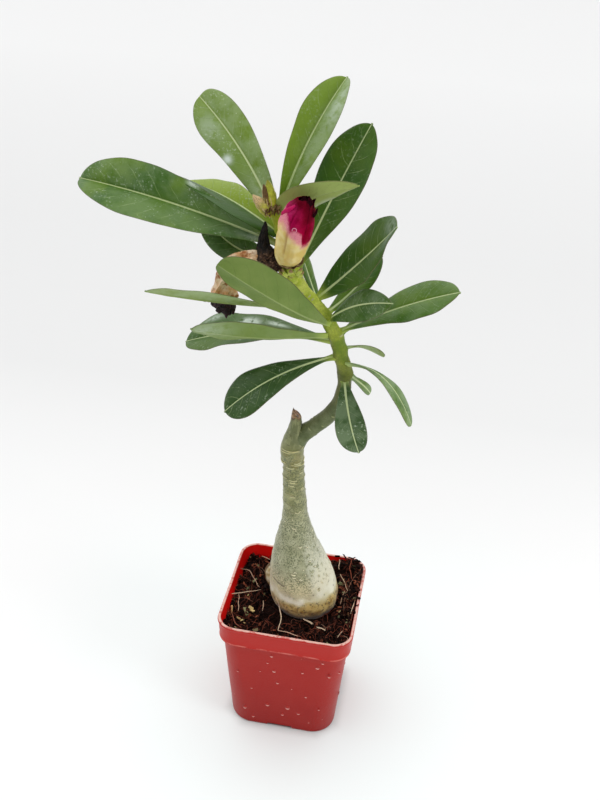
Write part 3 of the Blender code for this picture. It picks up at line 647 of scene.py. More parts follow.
# angle round the caudex in degrees (270 is the front), height, half width, and how far the ends bend up
FRONT_SCARS = [
    (246, 162.0, 2.4, 0.0), (250, 161.1, 2.0, 0.0), (307, 154.6, 1.7, 0.15), (306, 153.7, 1.5, 0.15),
    (263, 151.7, 2.0, 0.1), (327, 148.6, 1.0, 0.1), (277, 144.5, 1.8, 0.1), (273, 143.5, 1.2, 0.1),
    (265, 141.5, 1.3, 0.1), (324, 140.1, 0.8, -0.5), (327, 138.8, 0.9, 0.4), (270, 134.9, 1.3, 0.1),
    (292, 125.5, 1.0, 0.5), (306, 126.6, 0.4, -1.0), (232, 119.3, 0.4, 0.3), (223, 125.0, 0.3, 0.3),
    (274, 116.6, 0.9, 0.1), (281, 115.7, 0.2, 0.0), (291, 106.7, 0.9, 0.9), (348, 108.4, 0.35, 0.3),
    (346, 100.1, 0.4, -0.8), (318, 96.1, 0.5, 0.5), (291, 96.0, 0.35, -1.2), (272, 94.3, 0.8, -0.6),
    (268, 92.6, 1.1, 0.1), (268, 91.0, 1.0, 0.2), (269, 90.1, 0.3, -2.0), (281, 90.9, 0.8, -0.9),
    (283, 90.2, 0.4, 0.2), (293, 93.1, 0.25, 0.0), (310, 99.4, 0.25, 0.0), (228, 116.2, 0.3, 0.3),
    (269, 121.7, 0.3, 0.3), (313, 106.4, 0.25, 0.2), (0, 101.3, 0.3, 0.5), (255, 79.8, 0.35, 0.2),
    (264, 79.5, 0.25, 0.0), (332, 90.4, 0.25, 0.0)]
BACK_SCARS = 44
DOTS = 80
CREASE_HEIGHT, CREASE_ANGLE = 84.3, 230
DARK_DOT = (298, 81.7)
SCAR_HEIGHT, RING_HEIGHT, PEEL_STEP, CREASE_DEPTH = 0.26, 0.5, 0.22, 0.35   # millimetres
CUT_RINGS = (0.80, 0.5, 0.12)   # shares of the stub's radius
CUT_DISH = 0.6
RING_SCARS = [
    (162.6, 0.40, 0.8), (161.2, 0.34, 2.2), (154.9, 0.50, 0.2), (153.2, 0.42, 3.0), (149.6, 0.30, 1.4),
    (145.2, 0.36, 2.6), (143.6, 0.30, 0.9), (140.0, 0.26, 0.4), (135.4, 0.34, 3.6), (130.2, 0.20, 5.0),
    (126.2, 0.24, 1.0)]

caudex_line = spline(CAUDEX, CAUDEX_ROWS)
angle = around(CAUDEX_COLUMNS)[None, :]
z = caudex_line[:, 0:1] + 0 * angle
radius = caudex_line[:, 2:3]
fade = np.clip((130.0 - z) / 50.0, 0.15, 1.0)
reach = radius * (1 + fade * (0.020 * np.cos(2 * angle + 1.0) + 0.012 * np.cos(5 * angle + 0.5 + 0.03 * z)))
skin = np.stack([reach * np.cos(angle), reach * np.sin(angle), z], -1)
reach = reach + 0.16 * waves(skin, 9.0, 3) + 0.07 * waves(skin, 3.0, 4)


def turned_from(degrees):
    """Angle round the caudex, measured from a place and wrapped to half a turn either way."""
    return np.angle(np.exp(1j * (angle - math.radians(degrees))))


def mark_scars(rows, thickness):
    """Scars from rows of angle, height, half width and bend. 1 on them, 0 off."""
    result = np.zeros_like(z)
    for at_angle, at_height, half, bend in rows:
        across = turned_from(at_angle) * radius
        beyond = np.maximum(np.abs(across) - half, 0.0)
        off = z - at_height - bend * np.abs(across)
        result = np.maximum(result, np.exp(-(beyond / 0.25) ** 2 - (off / thickness) ** 2))
    return result


random = np.random.default_rng(SCAR_SEED)
back_angles = random.uniform(-5, 205, BACK_SCARS)
back_heights = 82.0 + 76.0 * random.beta(1.0, 1.5, BACK_SCARS)
back_halves, back_bends = random.uniform(0.3, 1.0, BACK_SCARS), random.uniform(-0.7, 0.9, BACK_SCARS)
back_rows = zip(back_angles, back_heights, back_halves, back_bends)
dot_heights = 80.0 + 70.0 * random.beta(1.0, 1.8, DOTS)
dot_rows = zip(random.uniform(0, 360, DOTS), dot_heights, random.uniform(0.02, 0.15, DOTS), np.zeros(DOTS))
scar = np.maximum(mark_scars([*FRONT_SCARS, *back_rows], 0.36), 0.75 * mark_scars(dot_rows, 0.28))
ring_scar = np.zeros_like(z)
for height, strength, phase in RING_SCARS:
    offset = z - height - 0.5 * np.sin(angle + phase) - 0.25 * np.sin(3 * angle + 2 * phase)
    part = smooth_step(np.sin(2 * angle + 5 * phase) + 0.7 * np.sin(5 * angle + 3 * phase), -0.5, 0.4)
    ring_scar = np.maximum(ring_scar, strength / 0.45 * part * np.exp(-(offset / 0.36) ** 2))
ledge_height = 80.0 + 6.5 * np.clip(np.cos(angle - math.radians(15)), 0, 1) ** 1.5 + 0.4 * np.sin(7 * angle)
foot_height = 75.2 + 2.6 * np.cos(angle - math.radians(350)) + 0.4 * np.sin(9 * angle)
peel = smooth_step(z - ledge_height, -1.2, 1.2)
crease = np.exp(-((z - CREASE_HEIGHT - 2.0 * (turned_from(CREASE_ANGLE)) ** 2) / 0.42) ** 2)
crease = crease * smooth_step(np.abs(turned_from(CREASE_ANGLE)), 0.36, 0.24)
dark_dot = np.exp(-((turned_from(DARK_DOT[0]) * radius) ** 2 + (z - DARK_DOT[1]) ** 2) / 0.16)
crease = np.maximum(crease, dark_dot)
# the right front of the bark, painted paler as a highlight where the light falls
painted_lit_side = smooth_step(np.cos(angle - math.radians(-22)), 0.62, 0.93) * smooth_step(z, 118.0, 94.0)
painted_lit_side = painted_lit_side * smooth_step(z, 78.0, 82.0)
peeled = PEEL_STEP * (peel - 1.0) * smooth_step(z, 70.0, 76.0)
reach = reach + SCAR_HEIGHT * scar + RING_HEIGHT * ring_scar + peeled - CREASE_DEPTH * crease
point = STUB_POINT * np.exp(-(((angle - math.pi) / 0.45) ** 2))
height_out = z + (point - STUB_TIP_RISE * np.cos(angle)) * smooth_step(z, 176.0, 180.6)
caudex_x = caudex_line[:, 1:2] + reach * np.cos(angle)
caudex_points = np.stack([caudex_x, CAUDEX_Y + reach * np.sin(angle), height_out], -1)

# the pruning cut closes the top with three shrinking rings, slightly dished
cut_share = np.array(CUT_RINGS)[:, None, None]
tip_middle = caudex_points[-1].mean(0)
dished = tip_middle + cut_share * (caudex_points[-1] - tip_middle)
dished = dished - np.array([0, 0, CUT_DISH]) * (1 - cut_share)
caudex_points = np.concatenate([caudex_points, dished])
blank = np.zeros((len(CUT_RINGS), CAUDEX_COLUMNS))
bark_values = {"scar": scar, "ring": ring_scar, "over_ledge": z - ledge_height, "over_foot": z - foot_height,
               "crease": crease, "light": painted_lit_side}
bark_values = {key: np.concatenate([value, blank]).ravel() for key, value in bark_values.items()}
bark_values["cut"] = np.concatenate([np.zeros_like(z), blank + 1]).ravel()
print("scars:", len(FRONT_SCARS) + BACK_SCARS, "dots:", DOTS, "ring scars:", len(RING_SCARS))

# %% [markdown]
# Bark colour changes with height: tan at the soil, white in the peeled zone, grey-green above, olive on
# the neck. Height is measured in the material and disturbed by noise, so that no border is a clean line.

# %% Bark material
bark, look = new_material("caudex_bark", 0.50, 0.4, IOR=1.42, Sheen_Weight=0.30)
height_mm = look.height()
ragged = look.calc("MULTIPLY_ADD", look.noise(6.0, 5.0), 8.0, -4.0)
rough_height = look.plus(height_mm, ragged)
patch = look.place(mottle, Size=5.0, Grain=0.7)
green_grey = look.mix(patch["Patches"], (0.34, 0.35, 0.20), (0.49, 0.49, 0.31))
olive = look.mix(patch["Patches"], (0.26, 0.27, 0.10), (0.40, 0.40, 0.19))
cream = look.mix(patch["Patches"], (0.74, 0.70, 0.44), (0.95, 0.93, 0.74))
tan = look.mix(look.clouds(4.0, 0.38, 0.60, 4.0), (0.29, 0.16, 0.020), (0.66, 0.49, 0.16))
tan = look.mix(look.rise(rough_height, 71.0, 67.0), tan, (0.10, 0.045, 0.015))
blur = look.times(look.minus(look.noise(3.0, 4.0), 0.5), 7.0)
over_foot = look.plus("over_foot", look.times(blur, 0.55))
colour = look.mix(look.rise(over_foot, -2.0, 0.2), tan, (0.66, 0.56, 0.26))
colour = look.mix(look.rise(over_foot, -0.4, 1.8), colour, cream)
over_ledge = look.plus("over_ledge", blur)
colour = look.mix(look.rise(over_ledge, -2.4, 2.4), colour, (0.66, 0.59, 0.35))
colour = look.mix(look.rise(over_ledge, 3.0, 15.0), colour, green_grey)
colour = look.mix(look.rise(rough_height, 112.0, 136.0), colour, olive)
streaks = look.stretched(1.0, 1.0, 0.25)
stub = look.mix(look.clouds(1.8, 0.40, 0.60, at=streaks), (0.17, 0.19, 0.075), (0.29, 0.31, 0.14))
colour = look.mix(look.rise(rough_height, 161.0, 167.0), colour, stub)
# painted highlight on the lit side, with less speckle there
painted_lit = look.times("light", look.clouds(2.2, 0.36, 0.5, 4.0))
colour = look.mix(painted_lit, colour, (0.84, 0.83, 0.67), 0.65)
wrinkles = look.times(look.clouds(2.6, 0.53, 0.68, 4.0, at=look.stretched(1.0, 1.0, 2.4)),
                      look.rise(height_mm, 116.0, 140.0))
colour = look.mix(wrinkles, colour, (0.115, 0.115, 0.045), 0.60)
dense = look.times(look.clouds(11.0, 0.30, 0.52), look.rise(over_ledge, -3.0, 9.0),
                   look.rise(height_mm, 168.0, 154.0), look.minus(1.0, look.times(painted_lit, 0.85)))
speckle = look.clouds(0.68, 0.45, 0.59, 2.0)
colour = look.mix(look.times(dense, 0.92, speckle), colour, (0.115, 0.135, 0.058))
brown = look.times(look.rise(height_mm, 145.0, 153.0), look.rise(height_mm, 163.0, 158.0),
                   look.clouds(4.0, 0.40, 0.60, 4.0))
colour = look.mix(brown, colour, (0.23, 0.20, 0.050), 0.65)
foot_spots = look.times(look.clouds(1.5, 0.54, 0.62, 4.0), look.rise("over_foot", 1.5, -0.5))
colour = look.mix(foot_spots, colour, (0.10, 0.055, 0.02), 0.8)
# a thin dark ring round each raised scar: painted shade at its foot
scar_shade_ring = look.calc("MAXIMUM", "scar", "ring")
colour = look.mix(look.rise(scar_shade_ring, 0.03, 0.30), colour, (0.13, 0.125, 0.05), 0.55)
scar_colour = look.mix(look.rise(height_mm, 108.0, 138.0), (0.84, 0.80, 0.54), (0.60, 0.58, 0.30))
colour = look.mix(look.rise("scar", 0.35, 0.8), colour, scar_colour)
colour = look.mix(look.rise("ring", 0.3, 0.9), colour, (0.64, 0.59, 0.27))
# the crease and the small sunk dot are painted dark: painted shade in the groove
colour = look.mix("crease", colour, (0.10, 0.08, 0.04))
wood = look.mix(look.clouds(1.3, 0.4, 0.6), (0.07, 0.025, 0.012), (0.46, 0.24, 0.12))
rough_top = look.plus(height_mm, look.times(look.noise(1.6, at=streaks), 5.0))
wood_share = look.calc("MAXIMUM", "cut", look.times(look.rise(rough_top, 180.4, 182.0), 0.85))
colour = look.mix(wood_share, colour, wood)
look.paint(colour, speckle, 0.06)

make_piece("caudex", caudex_points, bark, "bark", "plant_stem", smooth=60, **bark_values)

# %% [markdown]
# A thin side root leaves the caudex on its left and bends back into it like an ear. It is a tube.

# %% Side root
SIDE_ROOT = [
    (-9.0, 4.6, 86.5, 1.2), (-12.6, 5.3, 84.6, 1.5), (-14.8, 5.8, 81.5, 1.9), (-15.6, 6.0, 77.8, 2.0),
    (-14.8, 5.8, 73.5, 1.8), (-12.4, 5.2, 69.0, 1.5), (-10.5, 5.0, 65.0, 1.3)]
ROOT_ROWS, ROOT_COLUMNS = 60, 24
ear = tube(SIDE_ROOT, ROOT_ROWS, ROOT_COLUMNS,
           lambda a, s: 1 + 0.08 * np.cos(2 * a + 9 * s) + 0.05 * np.sin(31 * s))
root_skin, look = new_material("side_root_skin", 0.5, 0.4)
patch = look.place(mottle, Size=3.0, Grain=0.6)
pale = look.mix(patch["Patches"], (0.70, 0.56, 0.28), (0.92, 0.86, 0.64))
ends = look.calc("ABSOLUTE", look.minus("along", 0.42))
ends = look.plus(ends, look.times(look.noise(2.0), 0.2))
colour = look.mix(look.rise(ends, 0.32, 0.46), pale, (0.26, 0.13, 0.05))
colour = look.mix(look.rise("towards", 0.25, 0.75), colour, (0.13, 0.075, 0.02))
look.paint(colour, patch["Grain"], 0.1)
make_piece("side_root", ear, root_skin, "bark", smooth=60,
           along=np.repeat(np.linspace(0, 1, ROOT_ROWS), ROOT_COLUMNS),
           towards=np.tile(-np.cos(around(ROOT_COLUMNS)), ROOT_ROWS))

# %% [markdown]
# ## The shoot
# From the fork a branch swings out to the right and turns up and left as the leafy shoot. It ages from
# fresh yellow-green at the tip to grey bark at the fork. Each leaf stands on a slight swelling, and old
# leaves have left half-moon scars. One tube carries all of it; the flower stalks are thinner tubes.

# %% Shoot with swellings and leaf scars
SHOOT = [
    (-5.0, 5.0, 159.0, 4.3), (-2.5, 5.2, 167.0, 4.6), (4.5, 3.8, 175.0, 3.9), (11.3, 2.6, 183.0, 3.8),
    (15.8, 1.5, 191.5, 3.5), (17.5, 1.0, 199.0, 3.4), (17.5, 1.0, 205.0, 3.3), (16.6, 1.0, 211.5, 3.3),
    (14.7, 1.0, 218.0, 3.1), (12.1, 0.5, 226.5, 3.0), (7.4, 0.0, 235.0, 2.8), (1.6, 0.0, 242.2, 2.7),
    (-3.9, 0.0, 248.3, 2.6), (-9.0, 0.0, 257.4, 2.5), (-13.8, 1.0, 269.5, 2.5), (-17.0, 1.8, 279.0, 2.4),
    (-18.4, 1.3, 282.4, 2.3), (-18.9, 1.0, 284.2, 1.6)]
SHOOT_ROWS = 420
SHOOT_COLUMNS = 44
SHOOT_SCARS = 46
SHOOT_SCAR_SEED = 31
JOINT_SWELLING = 0.42           # millimetres at each leaf joint
SHOOT_SCAR_HEIGHT = 0.22
STALK_ROWS, STALK_COLUMNS = 36, 20

# name, height of the joint, compass angle from the front, rise, length, width, widest point (share of the
# length), tip (small is round), bow up, bow sideways, roll, twist, fold, tone (-1 dark to 1 light: partly the
# leaf's own green, partly painted light and shade, lighter for a leaf lit from behind and darker for one in
# shade), specks, a dusty coat with painted sheen on the half of the blade that lies to its left and to its
# right (below 0 that half is painted darker as shade), where a narrow foot ends, and how much wider the left
# half is (below 0, the right half)
LEAVES = [
    ("01_long_left", 266.5, -97, 9.7, 98.4, 28.2, 0.70, 0.50, 4.5, -4.0, -56, 36, 24, 0.0, 1.0, 0.30, 0.35),
    ("02_upper_left", 273.0, -119, 45, 68, 20.5, 0.76, 0.35, 4.0, 0.5, -60, -8, 7, 0.45, 1.2, 0.35, 0.75),
    ("03_top", 278.5, 139, 58, 65, 19.0, 0.70, 0.49, 5.5, 2.0, 34, -42, 26, 0.45, 0.4, 0.0, 0.55),
    ("04_upper_right", 254.5, 125.5, 63, 71, 23.0, 0.69, 0.56, -1.5, -3.5, 35, -8, 5, -0.4, 0.4, 0.0, 0.1),
    ("05_over_bloom", 280.0, 79, 28, 40, 15.6, 0.51, 0.54, 3.0, 5.0, -52, 40, 9, 0.75, 0.1, 0.0, 0.1),
    ("06_behind_long_left", 270.0, -119, 9, 62, 21.0, 0.62, 0.52, 6.0, -3.0, -1, 34, 19, 0.95, 0.8, -1.0,
      0.0, 0.0, 0.80),
    ("07_under_long_left", 262.0, -103, 17, 44, 15.0, 0.66, 0.55, -7.0, -2.0, -47, -2, 5, -0.1, 0.6, 0.3,
      0.3),
    ("08_front_left", 232.5, -43, 35, 73, 21.2, 0.78, 0.40, -1.5, -13.0, 53, -5, 22, -0.25, 0.1, 0.0, 0.0),
    ("09_edge_on_left", 240.0, -65.3, 9.8, 77, 20.0, 0.66, 0.57, -0.6, -2.5, 33, 5, 9, 0.30, 0.1, 0.9,
      0.9, 0.40),
    ("10_mid_left_front", 227.5, -63, 8, 66, 19.5, 0.68, 0.55, -3.0, 0.5, 47, 11, 13, 0.20, 0.1, 0.2, 0.2),
    ("11_mid_left_back", 223.0, -104, -14, 81, 24.0, 0.66, 0.55, 5.5, -2.0, -14, -40, 16, -0.4, 1.0,
      0.12, 0.35),
    ("12_lower_left", 216.6, -74, -29, 60, 21.6, 0.77, 0.50, 5.2, -1.0, -26, 0, 0, -0.75, 0.7, 0.1, 0.15),
    ("13_hanging", 206.5, 37, -60, 36, 14.2, 0.68, 0.52, 5.0, 4.0, 38, -1, 10, -0.8, 1.3, 0.5, 0.6),
    ("14_narrow_right", 212.5, 58.5, -20.5, 43, 12.0, 0.78, 0.38, 11.0, 1.5, -19, 9, 0, 0.0, 0.8, 0.8, 0.9),
    ("15_small_arched", 219.5, 112, -13, 22, 5.2, 0.78, 0.36, 2.5, -1.5, -45, -4, 7, 0.5, 1.3, 1.6, 1.4),
    ("16_tiny", 208.0, 102, -40, 16.5, 4.6, 0.74, 0.36, 2.0, 3.0, 54, 11, 10, 0.2, 0.3, 0.9, 0.9),
    ("17_right", 227.5, 85, 29, 60, 19.5, 0.69, 0.61, 0.0, -5.5, 29, -2, 4, 0.0, 0.5, 0.3, 0.3),
    ("18_small_right", 233.5, 65, 31, 36, 13.0, 0.61, 0.65, 3.5, 1.5, 53, 34, 0, -0.5, 0.7, 0.5, 0.3,
      0.0, -0.25),
    ("19_right_raised", 242.5, 67, 50, 57.2, 23.4, 0.69, 0.43, 0.0, -6.5, 55, -45, 8, -0.5, 0.5, 0.0, 0.0),
    ("20_behind_right", 236.5, 133, 37, 37, 12.4, 0.65, 0.59, -3.0, -1.0, 13, -6, 7, -0.2, 0.2, 0.0, 0.0),
    ("21_behind_shoot", 240.0, -146, 38, 36, 12.0, 0.64, 0.56, -2.0, 1.0, 38, 14, 6, -0.3, 0.2, 0.0, 0.0),
    ("22_small_back", 225.5, 141, 13, 22, 6.0, 0.66, 0.58, 1.2, 0.0, -7, 1, 8, 0.0, 0.2, 0.0, 0.0)]

# painted glints, pale patches of glare, on some leaves: place along and across (-1 to 1), reach both ways,
# and strength
PAINTED_GLINTS = {
    "01": [(0.455, 0.95, 0.026, 0.12, 1.2), (0.10, -0.4, 0.10, 0.5, 0.35)],
    "02": [(0.56, -0.80, 0.030, 0.22, 1.2), (0.80, -0.55, 0.09, 0.45, 0.32), (0.22, -0.3, 0.12, 0.7, 0.35)],
    "03": [(0.80, 0.65, 0.18, 0.45, 0.42), (0.45, 0.5, 0.14, 0.4, 0.15)],
    "05": [(0.50, -0.95, 0.40, 0.16, 0.45)],
    "10": [(0.92, -0.1, 0.14, 0.9, 0.32)],
    "11": [(0.55, 0.50, 0.055, 0.20, 2.2), (0.38, 0.55, 0.06, 0.10, 1.6), (0.80, 0.8, 0.06, 0.12, 0.8)],
    "19": [(0.97, -0.1, 0.10, 0.8, 0.35)]}

shoot_line = spline(SHOOT, SHOOT_ROWS)
_, shoot_across, shoot_other = turned_frame(shoot_line[:, :3])
travel = np.concatenate([[0.0], np.cumsum(np.linalg.norm(np.diff(shoot_line[:, :3], axis=0), axis=1))])
angle = around(SHOOT_COLUMNS)[None, :]
ring_way = ring_ways(angle, shoot_across[:, None], shoot_other[:, None])
reach = shoot_line[:, 3:4] + 0 * angle
skin = shoot_line[:, None, :3] + reach[..., None] * ring_way
reach = reach + 0.10 * waves(skin, 6.0, 11) + 0.05 * waves(skin, 2.0, 12)
for leaf in LEAVES:
    at = np.interp(leaf[1], shoot_line[:, 2], travel)
    facing = ring_way @ compass(leaf[2])
    near = np.exp(-((travel[:, None] - at) / 2.4) ** 2)
    reach += JOINT_SWELLING * near * (0.05 + np.clip(facing, 0, 1) ** 2 * 1.6)
random = np.random.default_rng(SHOOT_SCAR_SEED)
shoot_scar = np.zeros_like(reach)
for k in range(SHOOT_SCARS):
    at, way = random.uniform(12, travel[-1] - 3), random.uniform(0, TURN)
    across = np.angle(np.exp(1j * (angle - way))) * shoot_line[:, 3:4]
    bend = travel[:, None] - at - 0.28 * across**2
    size = random.uniform(0.8, 1.5)
    shoot_scar = np.maximum(shoot_scar, np.exp(-(across / size) ** 2 - (bend / 0.45) ** 2))
reach += SHOOT_SCAR_HEIGHT * shoot_scar
shoot_points = shoot_line[:, None, :3] + reach[..., None] * ring_way
shoot_age = np.repeat(travel / travel[-1], SHOOT_COLUMNS)
# how far each point faces left, for the painted shade on that side
shoot_left = np.clip(-ring_way[..., 0], 0, 1).ravel()
print("shoot length in mm:", round(float(travel[-1]), 1), "leaves on it:", len(LEAVES))

# %% Shoot material
green_skin, look = new_material("shoot_skin", 0.45, 0.35, IOR=1.42)
patch = look.place(mottle, Size=6.0, Grain=0.6)
wobble = look.calc("MULTIPLY_ADD", look.noise(9.0, 3.0), 0.12, -0.06)
age = look.plus("age", wobble)
old = look.mix(patch["Patches"], (0.115, 0.145, 0.055), (0.195, 0.225, 0.105))
mid = look.mix(patch["Patches"], (0.095, 0.12, 0.016), (0.155, 0.175, 0.030))
young = look.mix(patch["Patches"], (0.16, 0.24, 0.012), (0.34, 0.40, 0.035))
fresh = look.mix(patch["Patches"], (0.52, 0.62, 0.045), (0.72, 0.78, 0.15))
colour = look.mix(look.rise(age, 0.24, 0.34), old, mid)
colour = look.mix(look.rise(age, 0.37, 0.50), colour, young)
colour = look.mix(look.rise(age, 0.50, 0.78), colour, fresh)
grey = look.times(patch["Grain"], look.rise(age, 1.3, 0.3))
colour = look.mix(grey, colour, (0.06, 0.09, 0.02), 0.3)
# the left side of the shoot is painted darker: painted shade, away from the light
painted_shade_left = look.times(look.rise("left", 0.15, 0.95), look.rise(age, 0.95, 0.55))
colour = look.mix(painted_shade_left, colour, (0.085, 0.080, 0.022), 0.55)
scar_share = look.times(look.rise("scar", 0.3, 0.8), look.rise(age, -0.35, 0.60))
colour = look.mix(scar_share, colour, (0.42, 0.44, 0.20))
look.paint(colour, patch["Grain"], 0.06)

make_piece("leafy_shoot", shoot_points, green_skin, "bark", smooth=60, age=shoot_age,
           scar=shoot_scar.ravel(), left=shoot_left)
BLOOM_STALK = [
    (-5.4, 0.6, 251.0, 1.8), (-6.2, -0.5, 252.5, 2.0), (-7.6, -4.6, 256.4, 2.1), (-8.5, -8.6, 259.6, 1.9),
    (-8.7, -9.6, 262.4, 1.8)]
DRIED_STALK = [
    (-7.2, -0.6, 254.8, 1.8), (-8.2, -2.2, 256.3, 1.9), (-11.5, -6.0, 260.0, 1.7),
    (-15.6, -8.4, 262.8, 1.5)]
for name, stations, age in (("bloom_stalk", BLOOM_STALK, 0.95), ("dried_stalk", DRIED_STALK, 0.75)):
    stalk = tube(stations, STALK_ROWS, STALK_COLUMNS,
                 lambda a, s: 1 + 0.04 * np.cos(3 * a + 5 * s) + 0.05 * np.sin(17 * s))
    make_piece(name, stalk, green_skin, "bark", smooth=60, age=age, scar=0.0, left=0.0)

# %% [markdown]
# ## Leaves
# A leaf is a thick, bluntly rounded blade on a short stalk. Its middle line is a bowed chord, and the
# blade is rolled and twisted round that line and folded up a little along the midrib. The width follows
# a power of a sine. Above, the midrib lies in a shallow groove; below, it stands out as a rib.

# %% Leaf shape
PETIOLE_WIDTH = 2.2
PETIOLE_THICKNESS = 1.7
PETIOLE_FADE = 0.25
FLARE = 1.0                     # the stalk's foot is this much wider, as a share
FLARE_LENGTH = 2.6              # millimetres over which that fades
BLADE = 0.62
RIB_COLUMNS = np.array([0.0, 0.3, 0.65, 1.1])   # millimetres from the midrib
BLADE_COLUMNS = 9
MARGIN_WAVE = 0.05              # share of the half width
POINT_LENGTH = 0.6              # the small point at the tip, in millimetres
BLUNT_POINT = 0.1               # the same on blades with a blunt tip
BLUNT_TIP = 0.40                # the tip of such a blade is at most this
ROOT_DEPTH = 0.7                # a leaf starts this far inside the shoot
LONG_LEAF = 30.0                # a leaf longer than this has more rows
LONG_ROWS, SHORT_ROWS = 78, 44
TIP_CROWDING = 1.45             # above 1, rows crowd towards the tip


def leaf_half_width(t, travelled, width, widest, tip, neck):
    """Half width along the blade: a wedge to the widest point and a round tip, never less than the stalk,
    which flares where it clasps the shoot; travelled is the distance from there in millimetres."""
    skew = math.log(0.5) / math.log(widest)
    blade = 0.5 * width * np.maximum(np.sin(math.pi * t**skew), 0.0) ** tip
    blade = blade * smooth_step(t, neck - 0.25, neck + 0.25) if neck else blade
    stalk = 0.5 * PETIOLE_WIDTH * np.sqrt(np.clip(1.0 - t, 0.05, 1.0))
    return np.maximum(blade, stalk * (1 + FLARE * np.exp(-travelled / FLARE_LENGTH)))


def leaf_middle(t, joint, heading, rise_angle, length, lift, sweep):
    """Middle line of a leaf: a straight chord from the shoot, bowed up and sideways as a parabola."""
    root = np.array([np.interp(joint, shoot_line[:, 2], shoot_line[:, k]) for k in range(3)])
    slope = math.radians(rise_angle)
    forward = compass(heading) * math.cos(slope) + (0.0, 0.0, math.sin(slope))
    up = unit(np.array([0.0, 0.0, 1.0]) - forward * forward[2])
    bow = 4.0 * t * (1.0 - t)
    line = root + t[:, None] * length * forward + bow[:, None] * (lift * up + sweep * np.cross(forward, up))
    return line, up


def make_blade(name, joint, heading, rise_angle, length, width, widest, tip, lift, sweep, roll, twist, fold,
               tone, dust, film_left, film_right, neck=0.0, uneven=0.0):
    """One leaf: rows along its middle line, and columns across its upper face and back along its lower."""
    fine = np.linspace(0.0, 0.35, 300)
    path, _ = leaf_middle(fine, joint, heading, rise_angle, length, lift, sweep)
    gap = np.linalg.norm(path[:, None] - shoot_line[None, :, :3], axis=2)
    buried = gap.min(1) - shoot_line[gap.argmin(1), 3]
    start = fine[np.argmax(buried > -ROOT_DEPTH)]
    rows = LONG_ROWS if length > LONG_LEAF else SHORT_ROWS
    share = np.linspace(0.0, 1.0, rows - 2)
    t = start + (1.0 - start) * (1.0 - (1.0 - share) ** TIP_CROWDING)
    point = POINT_LENGTH if tip > BLUNT_TIP else BLUNT_POINT
    t = np.concatenate([t, 1.0 + np.array([0.5, 1.0]) * point / length])
    centre, up = leaf_middle(t, joint, heading, rise_angle, length, lift, sweep)
    along = unit(np.gradient(centre, t, axis=0))
    normal = unit(up - along * (along @ up)[:, None])
    sideways = np.cross(along, normal)
    turned = np.radians(roll + twist * (t - 0.5))[:, None]
    face = (normal * np.cos(turned) + sideways * np.sin(turned))[:, None]
    edge = (sideways * np.cos(turned) - normal * np.sin(turned))[:, None]

    half = leaf_half_width(np.minimum(t, 1.0), (t - start) * length, width, widest, tip, neck)[:, None]
    half[-2:, 0] = (point, 0.25 * point)
    seed = int(name[:2])
    sides = []
    for side in (1, 2):
        travelled = np.stack([t * length, 0 * t, 0 * t], -1)
        wave = waves(travelled, 30.0, 100 * side + seed, 6)[:, None]
        wave = MARGIN_WAVE * smooth_step(half, 2.0, 6.0) * wave
        wavy = half * (1 + max(uneven * (3 - 2 * side), 0.0)) * (1 + wave)
        rib = RIB_COLUMNS[None, :] * np.minimum(1.0, wavy / 2.4)
        outer = rib[:, -1:] + (wavy - rib[:, -1:]) * np.linspace(0, 1, BLADE_COLUMNS + 1)[None, 1:]
        sides.append(np.concatenate([rib, outer], 1))
    across = np.concatenate([-sides[0][:, :0:-1], sides[1]], 1)
    edges = np.where(across < 0, sides[0][:, -1:], sides[1][:, -1:])
    share_out = np.abs(across) / edges
    ripple = 0.45 * smooth_step(half, 2.0, 8.0) * share_out**2
    ripple = ripple * waves(np.stack([t[:, None] * length + 0 * across, across, 0 * across], -1), 15.0, seed)
    arch = 0.07 * half * share_out * (1 - share_out) * 4 * smooth_step(half, 1.5, 4.0)
    tilt = math.radians(fold)
    sheet = centre[:, None] + (across * math.cos(tilt))[..., None] * edge
    sheet = sheet + (np.abs(across) * math.sin(tilt) + ripple + arch)[..., None] * face

    shrink = np.sqrt(np.clip(1.01 - t, 0.0, 1.0))[:, None] * min(1.0, width / 15.0)
    stalky = np.clip(1.0 - (t - start) / PETIOLE_FADE, 0, 1)[:, None] ** 1.5
    thick = BLADE + (PETIOLE_THICKNESS - BLADE) * stalky
    thick = thick * (1.0 - 0.55 * share_out**4)
    groove = 0.22 * np.exp(-(across / 0.55) ** 2) * shrink
    ridge = 0.65 * np.exp(-(across / 0.75) ** 2) * shrink
    above = sheet + (0.5 * thick - groove)[..., None] * face
    below = sheet - (0.5 * thick + ridge)[..., None] * face
    points, both = both_faces(above, below), both_faces(across)
    ratio = both / both_faces(edges)
    # painted glints: pale patches of glare laid on the blade
    bleach = np.zeros_like(ratio)
    for at, side, reach, spread, strength in PAINTED_GLINTS.get(name[:2], ()):
        near = np.exp(-(((t[:, None] - at) / reach) ** 2) - ((ratio - side) / spread) ** 2)
        bleach = np.maximum(bleach, strength * near)
    upper = both_faces(np.ones_like(across), np.zeros_like(across))
    margin = both_faces(edges - np.abs(across))
    return make_piece(
        "blade_" + name, points, leaf_skin, "leaf", "leaf_" + name, smooth=75,
        along=np.repeat(t, points.shape[1]), across=ratio.ravel(), rib=np.abs(both).ravel(),
        bleach=bleach.ravel(), margin=margin.ravel(), upper=upper.ravel(), tone=tone, dust=dust,
        film=np.where(both < 0, film_left, film_right).ravel())


# %% [markdown]
# The leaf's look is drawn on the leaf's own measures, kept as attributes: how far along, how far across,
# and the distance in millimetres from midrib and margin. Side veins are one group of sums: stripes over
# the length that lean towards the tip and curve, offset on the two halves, and fade at the margin.

